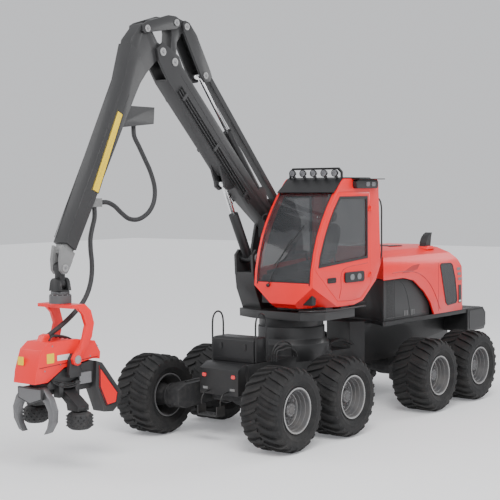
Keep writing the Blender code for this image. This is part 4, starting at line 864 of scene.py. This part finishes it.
def makeSeat(spec):
    x = spec["middle"]
    lower = makePiece("seatCushion", [cushionShape((x, 1.44, 2.745), (0.255, 0.26, 0.075), 3.4, 0.06, 0.02,
                                            3)], "platform", "cloth", 0, 60, 1)
    back = makePiece("seatBack",
                     [cushionShape((x, 1.805, 3.13), (0.245, 0.34, 0.065), 3.6, math.radians(68), 0.02,
                                   3)], "platform", "cloth", 0, 60, 1)
    rest = makePiece("seatHeadrest",
                     [cushionShape((x, 1.915, 3.56), (0.14, 0.095, 0.045), 3.2, math.radians(72),
                                   0.01)], "platform", "cloth", 0, 60, 1)
    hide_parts("operator_seat")
    base = [turnedShape([(0.17, 2.112), (0.17, 2.16), (0.12, 2.19), (0.10, 2.42), (0.14, 2.56),
                         (0.19, 2.655)], "Z", (x, 1.48, 0), 28),
            boxShape((x - 0.22, 1.24, 2.62), (x + 0.22, 1.66, 2.675))]
    makePiece("seatBase", base, "platform", "black", 0)
    rests = []
    for side in (-1, 1):
        rests.append(boxShape((x + side * 0.30 - 0.045, 1.22, 2.93),
                              (x + side * 0.30 + 0.045, 1.62, 2.975)))
        rests.append(turnedShape([(0.022, 2.97), (0.018, 3.03), (0.026, 3.07), (0.024, 3.12),
                                  (0.0, 3.135)], "Z", (x + side * 0.30, 1.27, 0), 20))
        rests.append(tubeShape(smoothPath([(x + side * 0.20, 1.68, 2.68), (x + side * 0.28, 1.66, 2.75),
                                           (x + side * 0.30, 1.60, 2.93)], 0.03), 0.02, 10))
    makePiece("armRests", rests, "platform", "black", 0.006)
    screen = [slabShape(roundedOutline((0.66, 2.86), (0.86, 3.04), 0.02), "Y", 0.93, 0.955),
              tubeShape([(0.78, 0.945, 2.60), (0.78, 0.945, 2.72), (0.78, 0.945, 2.88)], 0.012, 10)]
    makePiece("displayScreen", screen, "platform", "black", 0.004)


makeSeat(seatSpec)
print("cab made")


hoodSpec = {
    "half": 0.95,
    "grille": [(4.84, 2.57), (4.89, 2.61), (5.26, 2.60), (5.33, 2.56), (5.44, 2.30), (5.50, 1.98),
               (5.51, 1.86), (5.47, 1.80),
               (5.14, 1.78), (5.06, 1.84)],
    "slots": [(5.500, 2.44), (5.530, 2.34), (5.550, 2.24)],
    "corner": [(5.565, 2.15), (5.675, 2.15), (5.690, 1.80), (5.575, 1.80)],
}


def makeHood(spec):
    half = spec["half"]
    frames, grilles, slots, creases, seams = [], [], [], [], []
    for side in (1, -1):
        face = side * (half - 0.001)
        frames.append(bandShape(spec["grille"], "X", face, 0.022, 0.010, side))
        grilles.append(plateShape(spec["grille"], "X", face, 0.005, side))
        # painted shade: a thin tube in the darker copy of the red paint marks the crease along each side
        creases.append(tubeShape(smoothPath([(face, 3.10, 2.52), (face, 3.60, 2.53), (face, 4.05, 2.46),
                                            (face, 4.40, 2.28), (face, 4.66, 2.02), (face, 4.84,
                                            1.74)], 0.04), 0.007, 8))
        seams.append(tubeShape([(face, 4.78, z) for z in np.linspace(1.70, 2.62, 12)], 0.003, 6))
    for side in (1, -1):
        slots += [plateShape(roundedOutline((y, z), (y + 0.145, z + 0.055), 0.012), "X",
                             side * (half - 0.001), 0.006, side) for y, z in spec["slots"]]
    makePiece("hoodGrilles", grilles, "hood", "grille", 0)
    makePiece("hoodGrilleFrames", frames, "hood", "black", 0.003)
    makePiece("hoodSlots", slots, "hood", "pale", 0.003)
    makePiece("hoodCreases", creases, "hood", "shadedRed", 0)
    makePiece("hoodSeams", seams, "hood", "black", 0)
    corners = [plateShape(spec["corner"], "X", side * (half - 0.001), 0.006, side) for side in (1, -1)]
    makePiece("hoodCornerPanels", corners, "hood", "grey", 0.002)
    makePiece("hoodCornerPlates", [boxShape((half + 0.004, 5.585, 1.82), (half + 0.008, 5.675, 1.85))],
              "hood", "white", 0.001)
    pipe = [(4.636, 2.93), (4.636, 3.003), (4.667, 3.057), (4.707, 3.115), (4.78, 3.165), (4.866, 3.198),
            (4.836, 3.12), (4.824, 3.05), (4.804, 2.93)]
    makePiece("exhaustPipe", [slabShape(pipe, "X", 0.616, 0.764)], "hood", "cast", 0.004)
    # painted shade: thin plates in the darker copy of the red paint lie on a facet of each side of the hood
    shadeFacets = [plateShape([(3.42, 2.50), (3.80, 2.62), (4.08, 2.64), (3.98, 2.545), (3.70, 2.50)], "X",
                          side * (half - 0.001), 0.004, side) for side in (1, -1)]
    makePiece("hoodShadeFacets", shadeFacets, "hood", "shadedRed", 0.002)
    scoop = slabShape([(4.60, 2.880), (4.64, 2.945), (4.84, 2.945), (4.95, 2.885)], "X", 0.585, 0.795)
    makePiece("exhaustCollar", [scoop], "hood", "red", 0.012)
    handles = [tubeShape(smoothPath([(x, 3.34, 2.962), (x, 3.36, 3.00), (x, 3.50, 3.005), (x, 3.62, 3.00),
                                     (x, 3.64, 2.962)], 0.02), 0.009, 8) for x in (-0.25, 0.25)]
    makePiece("hoodHandles", handles, "hood", "black", 0)
    grips = [boxShape((x - 0.11, 3.9, 2.957), (x + 0.11, 4.35, 2.966)) for x in (-0.3, 0.0, 0.3)]
    makePiece("hoodTopGrip", grips, "hood", "tread", 0.003)


makeHood(hoodSpec)


def makeEngineBay():
    fins, louvres, marks = [], [], []
    for side in (1, -1):
        face = side * 0.8795
        low, high = sorted((face, face + side * 0.008))
        louvres += [boxShape((low, 3.02, z), (high, 3.26, z + 0.012)) for z in np.linspace(1.72, 2.34, 24)]
        fins += [boxShape((low, y, 1.70), (high, y + 0.018, 1.80)) for y in (3.62, 3.67, 3.72, 3.86, 3.91,
                                            3.96)]
        marks.append(tubeShape(smoothPath([(face, 3.46, 2.36), (face, 3.60, 2.28), (face, 3.72, 2.10),
                                           (face, 3.80, 1.88), (face, 3.84, 1.68)], 0.05), 0.005, 6))
        marks.append(tubeShape([(face, 3.29, z) for z in np.linspace(1.68, 2.37, 10)], 0.005, 6))
        marks.append(tubeShape([(face, y, 1.70) for y in np.linspace(3.0, 4.50, 16)], 0.006, 6))
    makePiece("bayFins", fins, "rear_frame", "pale", 0.002)
    makePiece("bayLouvres", louvres, "rear_frame", "black", 0.001)
    makePiece("baySeams", marks, "rear_frame", "black", 0)
    ribs = [boxShape((-0.30, y, 2.498), (0.30, y + 0.05, 2.53)) for y in np.linspace(3.75, 4.9, 8)]
    pipes = [tubeShape(smoothPath([(x, 3.70, 2.30), (x, 3.50, 2.25), (x, 3.38, 2.00), (x, 3.40, 1.66)],
                                  0.04), 0.03, 12) for x in (-0.2, 0.0, 0.2)]
    makePiece("engineRibs", ribs + pipes, "rear_frame", "cast", 0.006)


makeEngineBay()


def makeRear():
    deck = boxShape((-0.90, 6.06, 1.639), (0.90, 6.58, 1.646))
    makePiece("bumperTread", [deck], "rear_frame", "tread", 0)
    ends = [plateShape([(6.02, 1.24), (6.02, 1.60), (6.55, 1.60), (6.66, 1.50), (6.66, 1.30),
                        (6.58, 1.24)], "X", side * 0.9495, 0.008, side) for side in (1, -1)]
    makePiece("bumperEnds", ends, "rear_frame", "grey", 0.003)
    lamps = [plateShape(roundedOutline((x - 0.09, 1.36), (x + 0.09, 1.44), 0.02), "Y", 6.7195, 0.010,
                        1) for x in (-0.78, 0.78)]
    makePiece("tailLamps", lamps, "rear_frame", "redLens", 0.003)
    ambers = [plateShape(roundedOutline((x - 0.05, 1.36), (x + 0.05, 1.44), 0.02), "Y", 6.7195, 0.010,
                         1) for x in (-0.60, 0.60)]
    makePiece("turnLamps", ambers, "rear_frame", "amber", 0.003)
    bolts = []
    places = [(x, 6.7195, z) for x in (-0.35, -0.12, 0.12, 0.35) for z in (1.33, 1.47)]
    for shape in boltShape("Y", (0, 0, 0), 0.016, 0.013, 1):
        bolts.append(copies(shape, places))
    makePiece("bumperBolts", bolts, "rear_frame", "bolt", 0)


makeRear()
print("rear made")


def makeFront():
    hoops = []
    for x in (-0.45, 0.45):
        path = smoothPath([(x, -0.30, 1.25), (x, -0.30, 1.50), (x, -0.30, 1.85), (x, -0.26, 1.98),
                           (x, -0.16, 2.03),
                           (x, -0.06, 1.98), (x, -0.02, 1.85), (x, -0.02, 1.60), (x, -0.02, 1.25)], 0.04)
        hoops.append(tubeShape(path, 0.015, 12))
    makePiece("frontHoops", hoops, "front_frame", "black", 0)
    step = [boxShape((-0.20, -1.00, 0.44), (0.20, -0.80, 0.47)),
            boxShape((-0.205, -1.00, 0.44), (-0.185, -0.80, 0.60)),
            boxShape((0.185, -1.00, 0.44), (0.205, -0.80, 0.60))]
    for x in (-0.195, 0.195):
        step.append(tubeShape(smoothPath([(x, -0.90, 0.58), (x, -0.90, 0.68), (x, -0.83, 0.78),
                                          (x, -0.72, 0.80), (x, -0.68, 0.80)], 0.03), 0.012, 10))
    makePiece("hangingStep", step, "front_frame", "black", 0.003)
    makePiece("stepTread", [boxShape((-0.18, -0.99, 0.469), (0.18, -0.81, 0.475))], "front_frame",
              "tread", 0)
    strips = [boxShape((x - 0.05, -0.706, 0.82), (x + 0.05, -0.699, 0.86)) for x in (-0.28, 0.28)]
    makePiece("nosePlates", strips, "front_frame", "pale", 0.002)
    makePiece("noseMarkers", [plateShape(roundedOutline((x - 0.04, 1.02), (x + 0.04, 1.08), 0.02), "Y",
                                         -0.699, 0.012, -1) for x in (-0.30, 0.30)],
              "front_frame", "redLens", 0.003)
    lid = [plateShape(roundedOutline((-0.40, -0.29), (0.40, 0.03), 0.04), "Z", 1.629, 0.007, 1)]
    latch = [plateShape(roundedOutline((x - 0.03, 1.44), (x + 0.03, 1.54), 0.015), "Y", -0.333, 0.014,
                        -1) for x in (-0.25, 0.25)]
    seam = [tubeShape([(x, -0.335, 1.30) for x in np.linspace(-0.40, 0.40, 10)], 0.004, 6)]
    makePiece("toolboxLid", lid + latch + seam, "front_frame", "black", 0.003)
    bolts = []
    turn = np.arange(28) * 2 * math.pi / 28
    ring = np.stack([0.625 * np.cos(turn), 1.30 + 0.625 * np.sin(turn), np.full(28, 1.42)], 1)
    for shape in boltShape("Z", (0, 0, 0), 0.016, 0.018, 1):
        bolts.append(copies(shape, ring))
    makePiece("pedestalBolts", bolts, "front_frame", "bolt", 0)
    caps = [turnedShape([(0.105, z), (0.105, z + t), (0.06, z + t), (0.05, z + t * 1.5),
                         (0.0, z + t * 1.5)], "Z", (0, 2.20, 0), 32) for z, t in ((1.234, 0.02),
                                            (0.871, -0.02))]
    makePiece("steerPinCaps", caps, "front_frame", "bolt", 0, 30)
    hoses = []
    for x in (-0.30, -0.22, 0.22, 0.30):
        hoses.append(tubeShape(smoothPath([(x, 1.92, 1.10), (x * 0.9, 2.02, 1.14), (x * 0.75, 2.20, 1.30),
                                           (x * 0.9, 2.45, 1.34), (x, 2.72, 1.26), (x, 2.80,
                                            1.22)], 0.04), 0.018, 10))
    makePiece("steerHoses", hoses, "front_frame", "cast", 0)
    lines = []
    for k in range(3):
        x, high = 0.50 + 0.045 * k, 1.52 - 0.05 * k
        lines.append(tubeShape(smoothPath([(x, 0.06, 1.245), (x + 0.02, 0.06, 1.40),
                                           (x + 0.04, 0.16, high), (x + 0.02, 0.40, high + 0.01),
                                           (x - 0.02, 0.62, high - 0.08), (x - 0.04, 0.70,
                                            1.25)], 0.03), 0.016, 10))
    makePiece("pedestalHoses", lines, "front_frame", "cast", 0)


makeFront()


def makeBogies():
    for end, endY, body in (("front", 0.0, "front_frame"), ("rear", 4.416, "rear_frame")):
        shapes, bolts = [], []
        for side in (1, -1):
            face = side * 0.919
            shapes.append(turnedShape([(0.17, face), (0.17, face + side * 0.035),
                                       (0.13, face + side * 0.05), (0.05, face + side * 0.06), (0.0,
                                            face + side * 0.06)], "X", (0, endY, axleHeight), 36))
            turn = np.arange(10) * math.pi / 5
            ring = np.stack([np.full(10, face + side * 0.033), endY + 0.148 * np.cos(turn),
                             axleHeight + 0.148 * np.sin(turn)], 1)
            for shape in boltShape("X", (0, 0, 0), 0.012, 0.012, side):
                bolts.append(copies(shape, ring))
            for place in (-0.777, 0.777):
                shapes.append(turnedShape([(0.205, face), (0.205, face + side * 0.03),
                                           (0.17, face + side * 0.05), (0.155,
                                            face + side * 0.10)], "X", (0, endY + place, axleHeight), 36))
                turn = np.arange(12) * math.pi / 6
                ring = np.stack([np.full(12, face + side * 0.028), endY + place + 0.188 * np.cos(turn),
                                 axleHeight + 0.188 * np.sin(turn)], 1)
                for shape in boltShape("X", (0, 0, 0), 0.010, 0.010, side):
                    bolts.append(copies(shape, ring))
            shapes.append(tubeShape([(side * 0.78, endY + y, 0.87) for y in np.linspace(-0.62, 0.62, 12)],
                                    0.02, 10))
        makePiece(end + "BogieCovers", shapes, body, "cast", 0.004)
        makePiece(end + "BogieBolts", bolts, body, "bolt", 0)


makeBogies()
print("chassis made")


craneSpec = {
    "platformPins": [((1.48, 3.45), 0.206), ((0.88, 2.86), 0.206)],
    "boomPins": [((-1.445, 6.213), 0.151), ((-1.164, 6.073), 0.151)],
    "topLinkPins": [((-1.796, 6.544), 0.151), ((-1.112, 6.700), 0.151)],
    "linkBarPins": [((-0.865, 6.659), 0.151), ((-0.406, 5.910), 0.151), ((1.78, 3.72), 0.151)],
    "tipPins": [((-3.57, 2.93), 0.111)],
    "boomRun": ((0.95, 3.93), (-0.98, 5.90)),     # a line just inside the boom's upper edge
    "boomDown": (-0.7, -0.71),                    # square to that line, downwards
    "jibRun": ((-3.42, 3.33), (-2.24, 5.55)),     # ends of the jib's welds
    "jibAcross": (0.873, -0.487),                 # square to the jib
    "jibPlate": [(-2.47, 5.26), (-2.35, 5.20), (-2.90, 4.00), (-3.04, 4.06)],
}


def pinCaps(name, pins, body, finish="pale", radius=0.07):
    shapes, heads = [], []
    for (y, z), face in pins:
        for side in (1, -1):
            x = craneX + side * (face - 0.001)
            shapes.append(turnedShape([(radius, x), (radius, x + side * 0.012),
                                       (radius * 0.8, x + side * 0.016),
                                       (radius * 0.62, x + side * 0.016), (radius * 0.6,
                                            x + side * 0.010), (0.0, x + side * 0.010)], "X", (0, y,
                                            z), 32))
            heads += list(boltShape("X", (x + side * 0.010, y, z), radius * 0.26, 0.014, side))
    makePiece(name, shapes, body, finish, 0, 30)
    makePiece(name + "Bolts", heads, body, "bolt", 0)


def makeCrane(spec):
    pinCaps("craneBasePins", spec["platformPins"], "platform", "ring", 0.085)
    pinCaps("boomPins", spec["boomPins"], "boom", "ring", 0.065)
    pinCaps("topLinkPins", spec["topLinkPins"], "top_link", "ring", 0.055)
    pinCaps("linkBarPins", spec["linkBarPins"],
            "link_bar", "ring", 0.055)
    pinCaps("tipPins", spec["tipPins"], "jib_extension", "ring", 0.055)

    # welded seam ribs and pipes along the boom
    start, end = (np.array(spot) for spot in spec["boomRun"])
    down = np.array(spec["boomDown"])
    pipes = []
    for k, x in enumerate((craneX - 0.172, craneX + 0.172)):
        for drop in (0.02, 0.075, 0.13):
            t = np.linspace(0.04, 0.96, 14)[:, None]
            line = start + (end - start) * t + down * (0.16 + drop)
            pipes.append(tubeShape(np.column_stack([np.full(14, x), line]), 0.013, 10))
    makePiece("boomPipes", pipes, "boom", "black", 0)
    clamps = []
    for t in (0.1, 0.5, 0.9):
        centre = start + (end - start) * t + down * 0.235
        for side in (1, -1):
            low, high = sorted((craneX + side * 0.149, craneX + side * 0.190))
            clamps.append(slabShape([(centre[0] - 0.075, centre[1] - 0.035),
                                     (centre[0] - 0.035, centre[1] - 0.075),
                                     (centre[0] + 0.075, centre[1] + 0.035), (centre[0] + 0.035,
                                            centre[1] + 0.075)], "X", low, high))
    makePiece("boomPipeClamps", clamps, "boom", "grey", 0.004)
    ribs = []
    t = np.linspace(0.0, 1.0, 10)[:, None]
    line = start + (end - start) * t + down * 0.045
    for side in (1, -1):
        ribs.append(tubeShape(np.column_stack([np.full(10, craneX + side * 0.149), line]), 0.006, 6))
    makePiece("boomWelds", ribs, "boom", "grey", 0)

    # blank plate on the left of the jib
    outline = spec["jibPlate"]
    plate = plateShape(outline, "X", craneX + 0.1395, 0.004, 1)
    makePiece("jibBlankPlate", [plate], "jib", "yellow", 0.001)
    border = bandShape(outline, "X", craneX + 0.1433, 0.012, 0.0015, 1)
    makePiece("jibPlateBorder", [border], "jib", "black", 0)
    welds = []
    low, high = (np.array(spot) for spot in spec["jibRun"])
    t = np.linspace(0, 1, 12)[:, None]
    for shift in (-0.085, 0.085):
        line = low + (high - low) * t + np.array(spec["jibAcross"]) * shift + np.array([-0.045, 0.0])
        for side in (1, -1):
            welds.append(tubeShape(np.column_stack([np.full(12, craneX + side * 0.139), line]), 0.005, 6))
    makePiece("jibWelds", welds, "jib", "grey", 0)
    glandLoop = turnedShape([(0.045, 5.040), (0.050, 5.06), (0.056, 5.10), (0.056, 5.16), (0.0, 5.17)],
                            "Z", (craneX, -1.985, 0), 24)
    makePiece("hoseBracketGland", [glandLoop], "jib", "black", 0)


makeCrane(craneSpec)
print("crane made")


headSpec = {"pivotY": -3.57, "rollers": (0.46, -3.66), "spikesRound": 14, "spikeRows": 4}


def spikeShape():
    # a short four-sided pyramid pointing along +X from the origin
    points = np.array([(0, -0.014, -0.014), (0, 0.014, -0.014), (0, 0.014, 0.014), (0, -0.014, 0.014),
                       (0.026, 0, 0)], float)
    return points, [np.array([[0, 1, 2, 3]]), np.array([[0, 1, 4], [1, 2, 4], [2, 3, 4], [3, 0, 4]])]


def makeRollers(spec):
    for name, side in (("left", 1), ("right", -1)):
        x, y = craneX + side * spec["rollers"][0], spec["rollers"][1]
        drum = turnedShape([(0.045, 0.642), (0.13, 0.642), (0.165, 0.665), (0.182, 0.70), (0.182, 0.83),
                            (0.165, 0.866), (0.13, 0.888), (0.045, 0.888)], "Z", (x, y, 0), 40, True)
        shift = 0.5 * (np.arange(spec["spikeRows"])[None] % 2)
        angles = (np.arange(spec["spikesRound"])[:, None] + shift) * 2 * math.pi / spec["spikesRound"]
        heights = np.broadcast_to(np.linspace(0.695, 0.835, spec["spikeRows"])[None], angles.shape)
        angles, heights = angles.ravel(), heights.ravel()
        points, faces = spikeShape()
        radial = points[None, :, 0] + 0.180
        spread = np.stack([x + radial * np.cos(angles)[:, None] - points[None, :, 1] * np.sin(angles)[:,
                                            None],
                           y + radial * np.sin(angles)[:, None] + points[None, :, 1] * np.cos(angles)[:,
                                            None],
                           heights[:, None] + points[None, :, 2]], -1).reshape(-1, 3)
        jumps = np.arange(len(angles)) * len(points)
        spikes = (spread,
                  [(group[None] + jumps[:, None, None]).reshape(-1, group.shape[1]) for group in faces])
        roller = makePiece("feedRollerSkin_" + name, [drum, spikes], "feed_roller_" + name,
                           "cast", 0, 30)
        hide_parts("feed_roller_" + name)
        cap = turnedShape([(0.10, 0.945), (0.10, 0.97), (0.07, 0.985), (0.0, 0.985)], "Z", (x, y, 0), 28)
        makePiece("rollerMotor_" + name, [cap], "roller_arm_" + name, "black", 0)


makeRollers(headSpec)


def makeHead(spec):
    y = spec["pivotY"]
    turn = np.arange(12) * math.pi / 6
    flange = turnedShape([(0.163, 2.418), (0.163, 2.530), (0.157, 2.538), (0.140, 2.538), (0.140, 2.418)],
                         "Z", (craneX, y, 0), 40, True)
    makePiece("rotatorFlange", [flange], "head_hanger", "rim", 0.002)
    ring = np.stack([craneX + 0.151 * np.cos(turn), y + 0.151 * np.sin(turn), np.full(12, 2.537)], 1)
    bolts = [copies(shape, ring) for shape in boltShape("Z", (0, 0, 0), 0.009, 0.011, 1)]
    makePiece("flangeBolts", bolts, "head_hanger", "bolt", 0)
    fins = [turnedShape([(0.137, z), (0.141, z + 0.004), (0.137, z + 0.008), (0.12, z + 0.004)], "Z",
                        (craneX, y, 0), 40, True) for z in (2.545, 2.560, 2.575)]
    makePiece("rotatorRings", fins, "rotator", "bolt", 0)
    caps = []
    for side in (1, -1):
        x = craneX + side * 0.354
        caps.append(turnedShape([(0.06, x), (0.06, x + side * 0.012), (0.045, x + side * 0.018),
                                 (0.0, x + side * 0.018)], "X", (0, -3.58, 1.62), 32))
    makePiece("tiltPinCaps", caps, "head_hanger", "ring", 0, 30)

    # blank labels, seams and bolts on the cover; red triangle on the saw box
    left = craneX + 0.2245
    yellow = plateShape(roundedOutline((-4.06, 1.60), (-3.92, 1.74), 0.012), "X", left, 0.003, 1)
    yellowTwo = plateShape(roundedOutline((craneX - 0.17, 1.58), (craneX - 0.05, 1.70), 0.012), "Y",
                           -4.243, 0.012, -1)
    makePiece("coverLabels", [yellow, yellowTwo], "head_frame", "yellow", 0.001)
    white = plateShape(roundedOutline((-3.86, 1.62), (-3.50, 1.70), 0.012), "X", left, 0.003, 1)
    makePiece("coverWhiteLabel", [white], "head_frame", "white", 0.001)
    seam = [tubeShape([(craneX + side * 0.2255, yy, zz) for yy,
                       zz in zip(np.linspace(-4.20, -3.05, 12),
                                 np.linspace(1.55, 1.60, 12))], 0.004, 6) for side in (1, -1)]
    makePiece("coverSeam", seam, "head_frame", "black", 0)
    places = [(left, yy, zz) for yy, zz in ((-4.10, 1.50), (-3.80, 1.56), (-3.20, 1.62), (-3.06, 1.76),
                                            (-3.40, 1.84), (-3.95, 1.84))]
    bolts = [copies(shape, places) for shape in boltShape("X", (0, 0, 0), 0.010, 0.009, 1)]
    places = [(2 * craneX - x, yy, zz) for x, yy, zz in places]
    bolts += [copies(shape, places) for shape in boltShape("X", (0, 0, 0), 0.010, 0.009, -1)]
    makePiece("coverBolts", bolts, "head_frame", "bolt", 0)
    triangle = plateShape([(-3.05, 1.47), (-2.66, 1.02), (-2.70, 0.86), (-2.90, 0.84), (-3.05, 1.14)], "X",
                          craneX + 0.249, 0.012, 1)
    makePiece("sawBoxCover", [triangle], "head_frame", "red", 0.006)
    rim = bandShape([(-3.05, 1.47), (-2.66, 1.02), (-2.70, 0.86), (-2.90, 0.84), (-3.05, 1.14)], "X",
                    craneX + 0.2605, 0.02, 0.003, 1)
    makePiece("sawBoxRim", [rim], "head_frame", "black", 0)
    plate = slabShape([(craneX - 0.23, 1.245), (craneX - 0.23, 1.115), (craneX, 1.04),
                       (craneX + 0.23, 1.115), (craneX + 0.23, 1.245)], "Y", -4.196, -4.188)
    makePiece("frontWearPlate", [plate], "head_frame", "steel", 0.003)
    caps = []
    for side in (1, -1):
        centre = (craneX + side * 0.16, 0, 1.20)
        caps.append(turnedShape([(0.065, -4.141), (0.065, -4.155), (0.045, -4.168), (0.0, -4.168)], "Y",
                                centre, 28))
    makePiece("knifePinCaps", caps, "head_frame", "bolt", 0)
    hoses = []
    for k, x in enumerate((-0.10, -0.035, 0.035, 0.10)):
        hoses.append(tubeShape(smoothPath([(craneX + x, -3.90, 1.89), (craneX + x * 1.1, -3.86, 1.955),
                                           (craneX + x * 1.3, -3.72, 1.965),
                                           (craneX + x * 1.4, -3.58, 1.93), (craneX + x * 1.5, -3.50,
                                            1.89)], 0.02), 0.014, 10))
    makePiece("coverHoses", hoses, "head_frame", "cast", 0)
    block = [boxShape((craneX + 0.19, -3.44, 1.235), (craneX + 0.245, -3.20, 1.40)),
             boxShape((craneX - 0.245, -3.44, 1.235), (craneX - 0.19, -3.20, 1.40))]
    makePiece("valveBlocks", block, "head_frame", "bolt", 0.005)
    lines = []
    for k, side in ((0, 1), (1, 1), (2, 1), (0, -1), (1, -1)):
        x = craneX + side * (0.205 + 0.018 * k)
        lines.append(tubeShape(smoothPath([(x - side * 0.02, -3.95, 1.36 - 0.02 * k),
                                           (x + side * 0.01, -3.86, 1.33 - 0.03 * k), (x + side * 0.03,
                                            -3.74, 1.29 - 0.03 * k),
                                           (x + side * 0.03, -3.58, 1.27 - 0.02 * k), (x + side * 0.01,
                                            -3.46, 1.31 - 0.02 * k), (x, -3.43,
                                            1.33 - 0.03 * k)], 0.02), 0.011, 8))
    makePiece("headHoses", lines, "head_frame", "cast", 0)


makeHead(headSpec)
print("head made")

def makeFloor():
    size = 60
    t = np.linspace(-1, 1, 3)
    x, y = np.meshgrid(t * size, t * size, indexing="ij")
    points = np.stack([x, y, np.full_like(x, -0.002)], -1).reshape(-1, 3)
    mesh = bpy.data.meshes.new("floor")
    mesh.from_pydata(points.tolist(), [], gridFaces(3, 3).tolist())
    floor = bpy.data.objects.new("floor", mesh)
    bpy.context.scene.collection.objects.link(floor)
    made = Finish("paleFloor", rough=0.9)
    made.set("colour", made.mix(made.noise(0.6, 2) * 0.1, (0.86, 0.86, 0.86), (0.83, 0.83, 0.83)))
    mesh.materials.append(made.material)
    made.set("glow", (0.95, 0.96, 1.0, 1)).set("glowPower", 0.18)


makeFloor()
